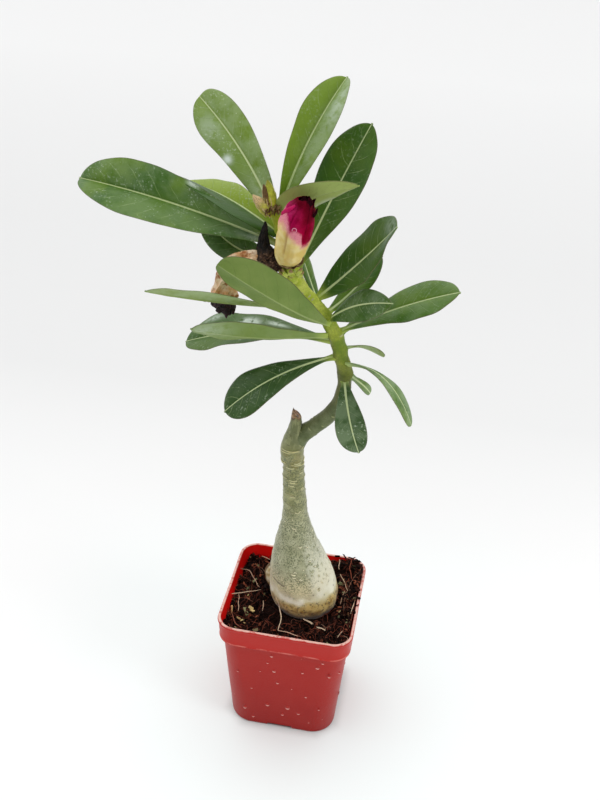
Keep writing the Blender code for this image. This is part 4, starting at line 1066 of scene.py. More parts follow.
# %% Side vein group
veins, vein_in, vein_out = new_group(
    "side_veins", {"Along": 0.0, "Across": 0.0, "Pairs": 11.0, "Lean": 1.5, "Width": 0.06}, ["Mask"])
out_share = veins.calc("ABSOLUTE", vein_in["Across"])
left_half = veins.calc("LESS_THAN", vein_in["Across"], 0.0)
curve = veins.times(out_share, veins.calc("MULTIPLY_ADD", out_share, 0.35, 0.75))
drift = veins.times(curve, vein_in["Lean"])
phase = veins.minus(veins.times(vein_in["Along"], vein_in["Pairs"]), drift)
phase = veins.plus(phase, veins.times(left_half, 0.42))
phase = veins.plus(phase, veins.times(veins.noise(9.0, 2.0), 0.35))
off_line = veins.calc("ABSOLUTE", veins.minus(veins.calc("FRACT", phase), 0.5))
on_line = veins.rise(off_line, vein_in["Width"], 0.0)
fading = veins.times(veins.rise(out_share, 0.98, 0.55), veins.rise(vein_in["Along"], 0.12, 0.3))
veins.feed(vein_out, "Mask", veins.times(on_line, fading))
print("vein nodes:", len(veins.tree.nodes))

# %% Leaf material
leaf_skin, look = new_material("leaf_skin", 0.4, 0.32, IOR=1.45)
patch = look.place(mottle, Size=16.0, Grain=1.2)
out_share_leaf = look.calc("ABSOLUTE", "across")
side_veins = look.place(veins, Along="along", Across="across")
# tone lightens or darkens a whole leaf: partly its own green, partly painted light and shade
light_tone = look.rise("tone", 0.0, 1.0)
dark_tone = look.rise("tone", 0.0, -1.0)
above = look.mix(patch["Patches"], (0.045, 0.125, 0.009), (0.090, 0.185, 0.018))
above = look.mix(look.clouds(22.0, 0.50, 0.66), above, (0.15, 0.25, 0.014), 0.5)
above = look.mix(light_tone, above, (0.26, 0.37, 0.022))
above = look.mix(dark_tone, above, (0.016, 0.058, 0.003))
below = look.mix(patch["Patches"], (0.135, 0.215, 0.036), (0.200, 0.275, 0.062))
below = look.mix(light_tone, below, (0.36, 0.45, 0.12))
below = look.mix(dark_tone, below, (0.085, 0.150, 0.022))
side_lines = look.times(side_veins["Mask"], look.clouds(6.0, 0.35, 0.65), 0.5)
above = look.mix(side_lines, above, (0.34, 0.46, 0.18))
rib_width = look.calc("MULTIPLY_ADD", "along", -0.40, 0.62)
rib_line = look.rise(look.minus("rib", rib_width), 0.12, -0.18)
above = look.mix(rib_line, above, (0.66, 0.76, 0.40), 0.9)
below = look.mix(rib_line, below, (0.34, 0.42, 0.16), 0.6)
green = look.mix("upper", below, above)
stalk = look.rise("along", 0.17, 0.04)
green = look.mix(stalk, green, (0.44, 0.55, 0.08), 0.75)
border = look.times(look.rise("margin", 0.38, 0.08), look.rise("along", 0.15, 0.35),
                    look.rise("along", 1.006, 0.985))
green = look.mix(border, green, (0.10, 0.07, 0.035), 0.6)
dust_specks = look.place(specks, Spacing=1.6, Size=0.17, Share=0.6)
dusty = look.times(dust_specks["Mask"], look.times("dust", "upper"))
green = look.mix(dusty, green, (0.62, 0.73, 0.48), 0.62)
stipple = look.times(look.clouds(1.1, 0.54, 0.72, 4.0), look.clouds(10.0, 0.44, 0.62))
stipple = look.times(stipple, look.times("dust", "upper"))
green = look.mix(stipple, green, (0.62, 0.72, 0.54), 0.45)
# a half with a value below 0 is painted darker: painted shade
green = look.mix("film", green, (0.040, 0.105, 0.010), -1.0)
# a half with a value above 0 gets a pale patchy coat: partly real dust, partly a painted sheen of glare
film = look.times("film", look.rise(look.noise(9.0, 5.0, 0.65), 0.30, 0.62), clamp=True)
film = look.times(film, look.rise(out_share_leaf, 0.02, 0.14))
green = look.mix(film, green, (0.48, 0.60, 0.38), 0.42)
# painted glints: pale patches of glare
glint_patches = look.times("bleach", look.clouds(3.4, 0.28, 0.56, 4.0), clamp=True)
green = look.mix(glint_patches, green, (0.68, 0.78, 0.68))
matt = look.calc("MULTIPLY_ADD", "upper", -0.20, 0.60)
matt = look.plus(matt, look.times(film, 0.2))
look.feed(look.shader, "Roughness", matt)
relief = look.minus(look.times(patch["Grain"], 0.35), side_veins["Mask"])
look.paint(green, relief, 0.10)
print("leaf nodes:", len(look.tree.nodes))

# %% Make the leaves
for leaf in LEAVES:
    make_blade(*leaf)

# %% [markdown]
# ## The potting mix
# The pot is filled with coir chips and peat, heaped towards the right and the back corner. The bed is a
# polar grid from the caudex to the wall, and on it lie loose chips and fibres: thousands of small
# slivers whose size, place and turn come from one seeded draw.

# %% Bed of mix
SOIL_LEVEL = 64.8
SOIL_HEAP_RIGHT = 5.2
SOIL_HEAP_CORNER = 5.5
SOIL_LUMP = 0.9
SOIL_SEED = 13
SOIL_WAVES = 26
BED_ROWS = 46
BED_COLUMNS = 240
EDGE_LEVEL = 68.0               # about where the mix meets the wall
PIT_X, PIT_RADIUS = 4.9, 16.2   # the bed's inner edge, hidden inside the caudex
HALVINGS = 30                   # the wall's distance is found to far below a thousandth of a millimetre


def mix_height(x, y):
    """Level of the mix: heaped to the right and to the back right corner, with seeded lumps."""
    half = RIM_WIDTH / 2
    level = SOIL_LEVEL + SOIL_HEAP_RIGHT * np.clip(x / half, 0, 1) ** 1.5
    level = level + SOIL_HEAP_CORNER * np.clip((x + y) / RIM_WIDTH, 0, 1) ** 2
    random = np.random.default_rng(SOIL_SEED)
    for _ in range(SOIL_WAVES):
        kx, ky = random.normal(0, 0.55, 2)
        wave = np.sin(kx * x + ky * y + random.uniform(0, TURN))
        level = level + 1.4 * SOIL_LUMP / math.sqrt(SOIL_WAVES) * wave
    return level


def wall_reach_at(angle, height, inset):
    """Distance from the middle to the inside of the wall, found by halving."""
    corner = pot_corner(height) - WALL - inset
    half = pot_inside_width(height) / 2 - inset
    low, high = np.zeros_like(angle), np.full_like(angle, RIM_WIDTH)
    for _ in range(HALVINGS):
        test = 0.5 * (low + high)
        over_x = np.maximum(np.abs(test * np.cos(angle)) - (half - corner), 0.0)
        over_y = np.maximum(np.abs(test * np.sin(angle)) - (half - corner), 0.0)
        within = np.hypot(over_x, over_y) < corner
        low, high = np.where(within, test, low), np.where(within, high, test)
    return low


angle = around(BED_COLUMNS)
inner_x, inner_y = PIT_X + PIT_RADIUS * np.cos(angle), CAUDEX_Y + PIT_RADIUS * np.sin(angle)
outer = wall_reach_at(angle, EDGE_LEVEL, 0.0)
edge_level = np.minimum(mix_height(outer * np.cos(angle), outer * np.sin(angle)), POT_HEIGHT - 0.6)
outer = wall_reach_at(angle, edge_level, 0.0)
share = np.linspace(0, 1, BED_ROWS)[:, None]
bed_x = inner_x * (1 - share) + outer * np.cos(angle) * share
bed_y = inner_y * (1 - share) + outer * np.sin(angle) * share
bed_z = SOIL_LEVEL + (mix_height(bed_x, bed_y) - SOIL_LEVEL) * np.minimum(1.0, 3.0 * share)
flat = np.stack([bed_x, bed_y, 0 * bed_x], -1)
bed_z = bed_z - 0.5 + 1.0 * waves(flat, 4.0, 41) + 0.6 * waves(flat, 1.9, 42)
bed = [np.stack([bed_x, bed_y, bed_z], -1)]
for height in (SHOULDER, 30.0, 3.0, FLOOR + 0.1):
    reach = wall_reach_at(angle, height, 0.15) * (0.9 if height < 2 else 1.0)
    ring = np.stack([reach * np.cos(angle), reach * np.sin(angle), np.full(BED_COLUMNS, height)], -1)
    bed.append(ring[None])
bed_points = np.concatenate(bed)[::-1]

# %% Mix material
mix, look = new_material("coir_mix", 0.85, 0.10)
patch = look.place(mottle, Size=3.0, Grain=0.7)
peat = look.mix(patch["Patches"], (0.002, 0.001, 0.0006), (0.012, 0.004, 0.0025))
peat = look.mix(patch["Grain"], peat, (0.050, 0.016, 0.009), 0.4)
look.paint(peat, patch["Grain"], 0.5)
make_piece("mix_bed", bed_points, mix, "potting_mix", "potting_mix", smooth=40)

# %% Loose chips
CHIP_COUNT = 2700
CHIP_SEED = 17
CHIP_LEVEL = 70.0               # the level at which chips and fibres keep clear of the wall
CHIPS_FROM, FIBRES_FROM = 17.6, 17.9   # how near the caudex they lie
random = np.random.default_rng(CHIP_SEED)


def scatter_on_bed(count, inset):
    """Seeded places on the bed between the caudex and the wall, as x, y and z."""
    way = random.uniform(0, TURN, count)
    far = np.sqrt(random.uniform(0.02, 1.0, count))
    limit = wall_reach_at(way, CHIP_LEVEL, inset)
    start_x, start_y = PIT_X + CHIPS_FROM * np.cos(way), CAUDEX_Y + CHIPS_FROM * np.sin(way)
    x = start_x + (limit * np.cos(way) - start_x) * far
    y = start_y + (limit * np.sin(way) - start_y) * far
    return np.stack([x, y, mix_height(x, y)], -1)


def turn_matrices(count, tumble):
    """Seeded turns: any way round, and tumbled by up to `tumble` from lying flat."""
    spin, pitch, bank = random.uniform(0, TURN, count), *random.normal(0, tumble, (2, count))
    cz, sz, cx, sx, cy, sy = (f(v) for v in (spin, pitch, bank) for f in (np.cos, np.sin))
    one, zero = np.ones(count), np.zeros(count)
    about_z = np.stack([cz, -sz, zero, sz, cz, zero, zero, zero, one], 1).reshape(-1, 3, 3)
    about_x = np.stack([one, zero, zero, zero, cx, -sx, zero, sx, cx], 1).reshape(-1, 3, 3)
    about_y = np.stack([cy, zero, sy, zero, one, zero, -sy, zero, cy], 1).reshape(-1, 3, 3)
    return about_z @ about_x @ about_y


SPECIAL_CHIPS = [   # x, y, height, length, width, tone
    (-20.0, -13.6, 67.0, 3.4, 1.9, 0.95), (-20.6, -12.0, 67.2, 2.6, 1.6, 0.9),
    (-30.4, -15.2, 67.0, 3.6, 1.2, 0.85), (-25.6, -20.0, 66.4, 2.2, 1.0, 0.9),
    (-23.6, -21.0, 66.4, 1.8, 0.9, 0.8), (23.3, 13.1, 71.0, 2.6, 1.8, 0.62),
    (31.4, 13.2, 72.9, 2.6, 0.9, 0.5), (30.6, 15.0, 73.1, 2.4, 0.8, 0.5),
    (32.6, 11.8, 72.9, 2.6, 0.8, 0.52), (31.6, 17.0, 73.2, 2.6, 0.9, 0.46),
    (33.0, 14.2, 73.4, 2.2, 0.8, 0.5), (33.4, 8.0, 73.2, 2.6, 1.0, 0.3), (33.6, 2.4, 73.0, 3.2, 1.1, 0.2),
    (34.2, -3.4, 72.9, 2.8, 1.0, 0.12), (33.4, -8.0, 72.4, 3.0, 1.1, 0.2),
    (31.0, 25.6, 74.6, 3.4, 1.4, 0.12), (29.0, 29.4, 75.0, 3.6, 1.8, 0.1),
    (26.2, 31.2, 74.9, 3.2, 1.5, 0.15), (30.8, 28.4, 75.8, 3.0, 1.6, 0.1),
    (22.6, 32.0, 74.4, 3.4, 1.3, 0.2), (18.4, 32.2, 73.8, 3.0, 1.2, 0.12),
    (32.4, 20.8, 74.2, 3.0, 1.2, 0.15), (27.6, 29.8, 76.4, 2.4, 1.2, 0.1)]
special = np.array(SPECIAL_CHIPS)
chip_place = scatter_on_bed(CHIP_COUNT, 0.9) + (0, 0, 0.15)
chip_place = chip_place + random.normal(0, 0.35, (CHIP_COUNT, 3))
long_side = random.gamma(3.0, 0.50, CHIP_COUNT) + 0.5
width = long_side * random.uniform(0.2, 0.55, CHIP_COUNT)
chip_tone = random.beta(0.9, 3.6, CHIP_COUNT)
chip_place = np.concatenate([chip_place, special[:, :3]])
long_side, width = np.concatenate([long_side, special[:, 3]]), np.concatenate([width, special[:, 4]])
chip_tone = np.concatenate([chip_tone, special[:, 5]])
chips = len(chip_place)
size = np.stack([long_side, width, random.uniform(0.3, 0.9, chips)], 1)
shape = CUBE[None] * size[:, None] * random.uniform(0.55, 1.25, (chips, len(CUBE), 3))
chip_points = chip_place[:, None] + shape @ turn_matrices(chips, 0.55).transpose(0, 2, 1)
chip_faces = (CUBE_FACES[None] + len(CUBE) * np.arange(chips)[:, None, None]).reshape(-1, 4).tolist()
chip_tone = np.repeat(chip_tone, len(CUBE))

coir, look = new_material("coir_chips", 0.8, 0.10)
dark = look.mix(look.noise(0.9), (0.002, 0.0008, 0.0006), (0.014, 0.004, 0.0025))
tone = look.value("tone")
colour = look.mix(look.rise(tone, 0.18, 0.50), dark, (0.072, 0.018, 0.010))
colour = look.mix(look.rise(tone, 0.42, 0.52), colour, (0.27, 0.080, 0.040))
colour = look.mix(look.rise(tone, 0.54, 0.62), colour, (0.17, 0.18, 0.09))
colour = look.mix(look.rise(tone, 0.66, 0.85), colour, (0.62, 0.46, 0.20))
look.paint(colour, look.noise(0.35, 2.0), 0.10)
make_piece("mix_chips", chip_points, coir, "potting_mix", faces=chip_faces, smooth=20, tone=chip_tone)

# %% Fibres
FIBRE_COUNT = 560
FIBRE_STEPS = 9
FIBRE_SIDES = 4
FIBRE_SEED = 23
STRAWS = [   # x, y, height, then thickness and tone: the few that stand out
    ([(-8.0, -9.4, 75.0), (-6.2, -10.4, 69.2), (-4.3, -15.2, 66.9), (-3.6, -24.2, 66.8)], 0.30, 0.97),
    ([(7.7, -13.2, 66.9), (13.7, -17.1, 67.9), (20.1, -21.2, 68.8)], 0.48, 0.97),
    ([(-22.8, 25.3, 71.6), (-17.9, 23.0, 71.8)], 0.22, 0.8),
    ([(-32.6, 15.9, 69.0), (-27.9, 14.2, 69.2), (-23.5, 9.5, 68.2), (-19.0, 3.8, 66.8)], 0.22, 0.75),
    ([(-33.0, -6.0, 69.0), (-29.3, -2.8, 67.9), (-18.9, 2.8, 67.2)], 0.24, 0.92),
    ([(-29.2, -3.0, 67.4), (-26.6, -15.5, 67.3)], 0.20, 0.8),
    ([(-15.7, -5.1, 67.2), (-14.2, -13.4, 67.2)], 0.22, 0.78),
    ([(-3.6, -24.5, 67.2), (3.6, -26.0, 67.3), (8.5, -27.5, 67.7)], 0.24, 0.85),
    ([(-30.0, -17.0, 67.0), (-26.8, -23.5, 67.1), (-22.4, -27.0, 67.2)], 0.24, 0.62),
    ([(19.9, 30.2, 73.6), (20.8, 22.5, 73.0)], 0.22, 0.8),
    ([(26.2, 30.2, 76.0), (27.2, 20.5, 74.3), (29.7, 14.6, 72.8)], 0.24, 0.55),
    ([(22.0, 20.8, 71.4), (28.0, 8.0, 72.0)], 0.22, 0.8),
    ([(25.7, 7.4, 71.4), (24.8, -2.7, 70.6)], 0.2, 0.72),
    ([(32.3, -0.4, 72.6), (31.5, -9.4, 71.8)], 0.22, 0.85),
    ([(29.3, -21.2, 70.7), (27.0, -26.3, 70.1)], 0.22, 0.8)]
random = np.random.default_rng(FIBRE_SEED)
step = np.linspace(0, 1, FIBRE_STEPS)
heading = random.uniform(0, TURN, FIBRE_COUNT)
bend = random.normal(0, 1.6, FIBRE_COUNT)
length = random.gamma(2.4, 2.6, FIBRE_COUNT) + 1.5
way = heading[:, None] + bend[:, None] * (step - 0.5)
stride = (length / (FIBRE_STEPS - 1))[:, None]
start = scatter_on_bed(FIBRE_COUNT, 1.6)
fibre_x = start[:, 0:1] + np.cumsum(np.cos(way) * stride, 1)
fibre_y = start[:, 1:2] + np.cumsum(np.sin(way) * stride, 1)
limit = wall_reach_at(np.arctan2(fibre_y, fibre_x), CHIP_LEVEL, 0.8)
pull = np.minimum(1.0, limit / np.hypot(fibre_x, fibre_y))
fibre_x, fibre_y = fibre_x * pull, fibre_y * pull
push = np.maximum(1.0, FIBRES_FROM / np.hypot(fibre_x - PIT_X, fibre_y - CAUDEX_Y))
fibre_x, fibre_y = PIT_X + (fibre_x - PIT_X) * push, CAUDEX_Y + (fibre_y - CAUDEX_Y) * push
hump = random.gamma(1.6, 0.5, FIBRE_COUNT)[:, None] * np.sin(step * math.pi)
fibre_z = mix_height(fibre_x, fibre_y) + 0.35 + hump
fibre_lines = list(np.stack([fibre_x, fibre_y, fibre_z], -1))
fibre_radius = list(random.uniform(0.06, 0.15, FIBRE_COUNT))
fibre_tones = list(random.beta(2.0, 2.6, FIBRE_COUNT) * 0.8)
for points, radius, tone in STRAWS:
    sway = 0.5 * waves(spline(points, 20), 7.0, len(fibre_lines), 4)[:, None] * (0.7, 0.7, 0.3)
    fibre_lines.append(spline(points, 20) + sway)
    fibre_radius.append(radius)
    fibre_tones.append(tone)
fibre_points, fibre_faces, fibre_tone = [], [], []
for line, radius, tone in zip(fibre_lines, fibre_radius, fibre_tones):
    taper = radius * (0.45 + 0.55 * np.sin(np.linspace(0.15, 1.0, len(line)) * math.pi * 0.92))
    strand = tube(np.column_stack([line, taper]), len(line), FIBRE_SIDES)
    fibre_faces += tube_faces(len(line), FIBRE_SIDES, len(fibre_points))
    fibre_points += strand.reshape(-1, 3).tolist()
    fibre_tone += [tone] * (len(line) * FIBRE_SIDES)
husk, look = new_material("coir_fibre", 0.7, 0.12)
tone = look.value("tone")
colour = look.mix(look.rise(tone, 0.10, 0.5), (0.035, 0.010, 0.008), (0.23, 0.058, 0.032))
colour = look.mix(look.rise(tone, 0.55, 0.95), colour, (0.78, 0.60, 0.42))
look.paint(colour)
make_piece("mix_fibres", fibre_points, husk, "potting_mix", faces=fibre_faces, smooth=70, tone=fibre_tone)

# %% [markdown]
# ## Strips
# Bracts, bud scales, shreds and torn petal tips are all small pointed strips. One function makes them: a
# sheet with rows along it and columns across, bowed, cupped and torn by numbers, and given a thickness.

# %% Strips: bracts, scales, shreds and torn tips
STRIP_ROWS, STRIP_COLUMNS = 26, 8


def strip(start, end, out, width, bow=0.0, cup=0.0, torn=0.0, seed=0, foot=0.55, thick=0.32):
    """A pointed strip from start to end: it bows towards `out`, its sides bend away from `out` by cup times
    the half width, and its margin is torn by seeded waves. Rows run along it, columns round its section."""
    start, end, out = (np.array(v, float) for v in (start, end, out))
    length = np.linalg.norm(end - start)
    way = (end - start) / length
    out = unit(out - way * (out @ way))
    side = np.cross(way, out)
    v = np.linspace(0, 1, STRIP_ROWS)[:, None]
    u = np.linspace(-1, 1, STRIP_COLUMNS)[None, :]
    place = np.stack([v * length + 0 * u, 3.0 * u + 0 * v, 0 * u * v], -1)
    opened = foot + (1 - foot) * np.sin(math.pi * np.minimum(v * 1.3, 1) / 2)
    half = 0.5 * width * (1 - v**2.2) ** 0.8 * opened
    half = half * (1 + torn * waves(place, 2.2, seed)) + 0.05
    line = start + v[..., None] * (end - start) + (4 * bow * v * (1 - v))[..., None] * out
    crumple = 0.25 * torn * waves(place, 1.8, seed + 50)
    sheet = line + (u * half)[..., None] * side + (crumple - cup * half * u**2)[..., None] * out
    depth = (0.5 * thick * (1 - 0.7 * u**4) * (1 - 0.6 * v))[..., None] * out
    return both_faces(sheet + depth, sheet - depth), v


def join_parts(parts):
    """Several grids that wrap round, each with its numbers for `along`, as one list of points and faces."""
    points, faces, along = [], [], []
    for grid, numbers in parts:
        faces += tube_faces(*grid.shape[:2], len(points))
        points += grid.reshape(-1, 3).tolist()
        along += np.broadcast_to(numbers, grid.shape[:2]).ravel().tolist()
    return points, faces, along


# %% [markdown]
# ## The fading bloom
# The bloom has closed and its five petals are furled round each other like an umbrella. Each petal is a
# thin shell wound part of the way round the same middle line, so one side stands free and the other is
# covered. The lower part has bleached to cream, the upper is magenta, and the top has wilted to maroon.

# %% Furled petals
FADING_BLOOM = [
    (-8.7, -9.6, 263.4, 3.4), (-8.9, -10.0, 265.4, 5.3), (-8.9, -10.6, 268.8, 6.3),
    (-8.0, -11.2, 273.0, 6.8), (-6.9, -11.8, 277.5, 7.3), (-6.1, -12.6, 282.2, 7.5),
    (-5.1, -13.3, 286.8, 6.9), (-3.6, -14.0, 290.6, 5.3), (-2.6, -14.6, 293.8, 3.1),
    (-2.4, -14.8, 295.6, 1.2)]
FRONT = 98.6                    # the angle round the bloom, in degrees, that faces the front
PETAL_THICKNESS = 0.35
PETAL_ROWS, PETAL_COLUMNS = 90, 34
# angle where the petal starts and ends, which end is free, height of its top at the start and the end, and
# reach at the free and the covered side
PETALS = [
    (-62, 80, "none", 0.90, 0.98, 0.95, 0.95),
    (95, 265, "none", 0.95, 0.93, 0.95, 0.95),
    (205, 345, "first", 0.90, 0.90, 0.99, 0.93),
    (30, 175, "first", 0.98, 0.93, 0.975, 0.95),
    (-188, -25, "last", 0.90, 0.84, 1.01, 0.96)]
SEAM_START, SEAM_END = 0.40, 0.80   # where, up the bloom, the petals part
# round the bloom from the front, in degrees: where cream ends, where magenta begins, how pale it is, and
# where the wilted top begins
BLOOM_COLOURS = np.array([
    (-180, 0.50, 0.62, 1.0, 0.86), (-90, 0.54, 0.70, 1.0, 0.86), (-60, 0.60, 0.71, 0.9, 0.88),
    (-35, 0.56, 0.64, 0.5, 0.88), (-26, 0.53, 0.62, 0.2, 0.88), (-23, 0.53, 0.56, 0.30, 0.88),
    (0, 0.46, 0.575, 0.15, 0.88), (20, 0.44, 0.54, 0.0, 0.80), (28, 0.40, 0.42, 0.0, 0.78),
    (45, 0.41, 0.43, 0.0, 0.78), (70, 0.44, 0.46, 0.1, 0.80), (180, 0.50, 0.62, 0.5, 0.86)])
bloom_line = spline(FADING_BLOOM, 300)
_, bloom_across, bloom_other = turned_frame(bloom_line[:, :3])


def read_line(table, share):
    """Rows of a table read at shares between 0 and 1, in straight steps between its rows."""
    where = np.clip(share, 0, 1) * (len(table) - 1)
    low = np.minimum(where.astype(int), len(table) - 2)
    rest = (where - low)[..., None]
    return table[low] * (1 - rest) + table[low + 1] * rest


def petal_shell(index, first, last, free, top_first, top_last, reach_free, reach_covered):
    """One petal wound round the bloom: angle across, height along. Its free side stands proud, its covered
    side lies deep, its top is ragged, and it is a thin closed shell."""
    u = np.linspace(0, 1, PETAL_COLUMNS)[None, :]
    v = np.linspace(0, 1, PETAL_ROWS)[:, None]
    hidden = {"first": u, "last": 1 - u, "none": 4 * (u - 0.5) ** 2}[free]
    top = top_first + (top_last - top_first) * u - 0.04 * (2 * u - 1) ** 6
    top = top + 0.022 * waves(np.stack([25 * u, 0 * u, 0 * u + index], -1), 5.0, 55)
    share = v * top
    line = read_line(bloom_line, share)
    twist = 14 * (share - 0.5) * (1 if free == "first" else -1)
    angle = np.radians(FRONT + first + (last - first) * u + twist)
    place = np.stack([8 * np.cos(angle), 8 * np.sin(angle), 32 * share + 0 * angle], -1)
    parted = reach_free + (reach_covered - reach_free) * np.sqrt(hidden)
    reach = line[..., 3] * (1 + (parted - 1) * (0.1 + 0.9 * smooth_step(share, SEAM_START, SEAM_END)))
    reach = reach + (0.16 + 0.35 * smooth_step(share, 0.6, 1.0)) * waves(place, 5.0, 56)
    reach = reach + 0.10 * waves(place * (1, 1, 0.15), 1.6, 57) * smooth_step(share, 0.05, 0.3)
    if free != "none":
        reach = reach + 0.12 * np.exp(-((hidden / 0.05) ** 2)) * smooth_step(share, 0.3, 0.6)
    across, other = read_line(bloom_across, share), read_line(bloom_other, share)
    way = ring_ways(angle, across, other)
    rim = 1 - 0.8 * (2 * u - 1) ** 8
    outer = line[..., :3] + reach[..., None] * way
    inner = outer - (PETAL_THICKNESS * rim * (1 - 0.5 * v))[..., None] * way
    grid, along = both_faces(outer, inner), both_faces(share)
    both = np.broadcast_to(both_faces(hidden), grid.shape[:2])
    turned = np.mod(np.degrees(both_faces(angle)) - FRONT + 180, 360) - 180
    inner = np.repeat([0.0, 1.0], PETAL_COLUMNS) + 0 * along
    values = {"along": along, "free_side": both + (index < 4), "inner": inner}
    for k, key in enumerate(("cream", "magenta", "pale", "wilted"), 1):
        values[key] = np.interp(turned, BLOOM_COLOURS[:, 0], BLOOM_COLOURS[:, k])
    return grid, values


bloom_points, bloom_faces, bloom_values = [], [], {}
for index, row in enumerate(PETALS):
    grid, values = petal_shell(index, *row)
    bloom_faces += tube_faces(*grid.shape[:2], len(bloom_points))
    bloom_points += grid.reshape(-1, 3).tolist()
    for key, numbers in values.items():
        bloom_values.setdefault(key, []).extend(np.ravel(numbers).tolist())
print("petal points:", len(bloom_points))

# %% Petal material
petal, look = new_material("furled_petal", 0.6, 0.05, IOR=1.4)
patch = look.place(mottle, Size=4.0, Grain=0.45)
along = look.value("along")
jitter = look.times(look.minus(look.noise(3.5, 4.0), 0.5), 0.10)
level_up = look.plus(along, jitter)
cream = look.mix(patch["Patches"], (0.86, 0.64, 0.20), (0.97, 0.80, 0.38))
cream = look.mix(look.clouds(4.5, 0.5, 0.7), cream, (0.84, 0.46, 0.22), 0.35)
foot = look.mix(look.rise(along, 0.02, 0.16), (0.66, 0.62, 0.20), cream)
pink = look.mix(patch["Grain"], (0.86, 0.34, 0.38), (0.80, 0.22, 0.32))
deep = look.mix(patch["Patches"], (0.24, 0.0, 0.016), (0.40, 0.0, 0.042))
rosy = look.mix(patch["Patches"], (0.60, 0.004, 0.15), (0.74, 0.05, 0.24))
magenta = look.mix("pale", deep, rosy)
from_wilted = look.minus(look.plus(along, look.times(jitter, 2.0)), "wilted")
magenta = look.mix(look.rise(from_wilted, -0.24, 0.0), magenta, (0.13, 0.0, 0.010))
from_cream = look.minus(level_up, "cream")
colour = look.mix(look.rise(from_cream, -0.05, 0.05), foot, pink)
from_magenta = look.minus(level_up, "magenta")
colour = look.mix(look.rise(from_magenta, -0.03, 0.03), colour, magenta)
colour = look.mix(look.rise(from_wilted, 0.03, 0.13), colour, (0.020, 0.0006, 0.003))
# a brown line beside the fifth petal's free edge: a painted shadow cast by that edge
free_edge_shadow = look.times(look.rise(along, 0.60, 0.50), look.rise(along, 0.24, 0.34),
                       look.rise("free_side", 0.08, 0.0))
colour = look.mix(free_edge_shadow, colour, (0.45, 0.19, 0.05), 0.6)
# the inner faces of the petals are painted darker: painted shade inside the furled bloom
colour = look.mix("inner", colour, (0.05, 0.002, 0.008), 0.6)
look.paint(colour, patch["Grain"], 0.06)
make_piece("furled_petals", bloom_points, petal, "petal", "fading_bloom", faces=bloom_faces, smooth=80,
           **bloom_values)

# %% Rolled margin, curl and wilted points
ROLLED_MARGIN = [
    (-11.9, -14.8, 287.0, 0.4), (-11.2, -15.8, 288.0, 0.85), (-9.6, -17.2, 289.6, 1.0),
    (-7.8, -18.0, 291.0, 0.85), (-6.2, -17.8, 292.4, 0.4)]
CURL = [
    (-6.5, -19.9, 282.2, 0.08), (-6.5, -20.0, 282.9, 0.16), (-5.8, -20.0, 283.5, 0.19),
    (-4.9, -20.0, 283.2, 0.18), (-4.8, -19.9, 282.2, 0.16), (-5.6, -19.8, 281.4, 0.1)]
# strips: start, end, which way they face, width, bow, cup, how torn, seed
WILTED_POINTS = [
    ((-3.6, -17.0, 291.4), (-2.6, -16.4, 296.0), (0, -1, 0.3), 3.6, -0.4, 0.4, 0.35, 1),
    ((-1.2, -17.2, 290.8), (-0.2, -16.6, 294.6), (0.3, -1, 0.3), 3.4, -0.2, 0.4, 0.4, 2),
    ((1.4, -15.6, 287.4), (2.8, -15.8, 291.6), (1, -0.6, 0.2), 2.6, 0.3, 0.4, 0.4, 3),
    ((0.8, -12.8, 289.4), (1.4, -12.6, 294.4), (1, 0.4, 0.2), 3.6, -0.3, 0.4, 0.4, 4),
    ((-2.4, -11.4, 290.2), (-1.4, -12.4, 295.2), (0, 1, 0.2), 4.0, -0.3, 0.4, 0.4, 5)]
points, faces, along = join_parts([(tube(ROLLED_MARGIN, 34, 18), 0.8)] + [(tube(CURL, 40, 10), 0.2)])
rolled, look = new_material("rolled_petal", 0.5, 0.15)
colour = look.mix(look.noise(1.6, 3.0), (0.40, 0.002, 0.060), (0.62, 0.006, 0.14))
colour = look.mix(look.rise("along", 0.5, 0.3), colour, (0.78, 0.30, 0.44))
look.paint(colour)
make_piece("rolled_petal_margin", points, rolled, "petal", faces=faces, smooth=80, along=along)
wilted, look = new_material("wilted_petal", 0.8, 0.05)
colour = look.mix(look.noise(1.6, 3.0), (0.004, 0.0006, 0.0014), (0.030, 0.0008, 0.005))
look.paint(colour)
points, faces, _ = join_parts(strip(*row) for row in WILTED_POINTS)
make_piece("wilted_points", points, wilted, "petal", faces=faces, smooth=70)

# %% [markdown]
# Under the bloom sits its calyx: short dry lobes round a green cup, and below it the small bracts of the
# flower stalk, which are fleshy and yellow-green with dry tips.

# %% Calyx and bracts
CALYX = [
    (1.9, -0.4, 0.0), (3.2, 0.0, 0.0), (4.2, 0.5, 0.1), (5.0, 1.1, 0.4), (5.6, 1.7, 0.8), (5.7, 1.9, 0.8),
    (5.2, 1.8, 0.8), (4.5, 1.3, 0.4), (3.4, 0.9, 0.0), (1.6, 0.8, 0.0)]
CALYX_COLUMNS = 110
CALYX_DROP = 1.7
CALYX_LOBES = 5
foot = np.array([-8.6, -9.6, 264.3])
way_up = unit(np.array([0.0, -0.9, 6.7]))
way_across = unit(np.cross(way_up, (0.0, 1.0, 0.0)))
way_other = np.cross(way_up, way_across)
angle = around(CALYX_COLUMNS)
point = (0.5 + 0.5 * np.cos(CALYX_LOBES * angle)) ** 1.5
cup = []
for radius, height, share in CALYX:
    reach = radius + share * (0.5 * point + 0.18 * np.sin(13 * angle)) + 0.1 * np.sin(29 * angle + radius)
    reach = reach[:, None]
    ring = foot - way_up * CALYX_DROP + reach * ring_ways(angle, way_across, way_other)
    cup.append(ring + way_up * (height + 1.3 * share * point + 0.22 * np.sin(9 * angle + radius))[:, None])
calyx_skin, look = new_material("calyx_skin", 0.7, 0.3)
patch = look.place(mottle, Size=2.4, Grain=0.6)
dry = look.mix(patch["Patches"], (0.16, 0.060, 0.018), (0.50, 0.38, 0.16))
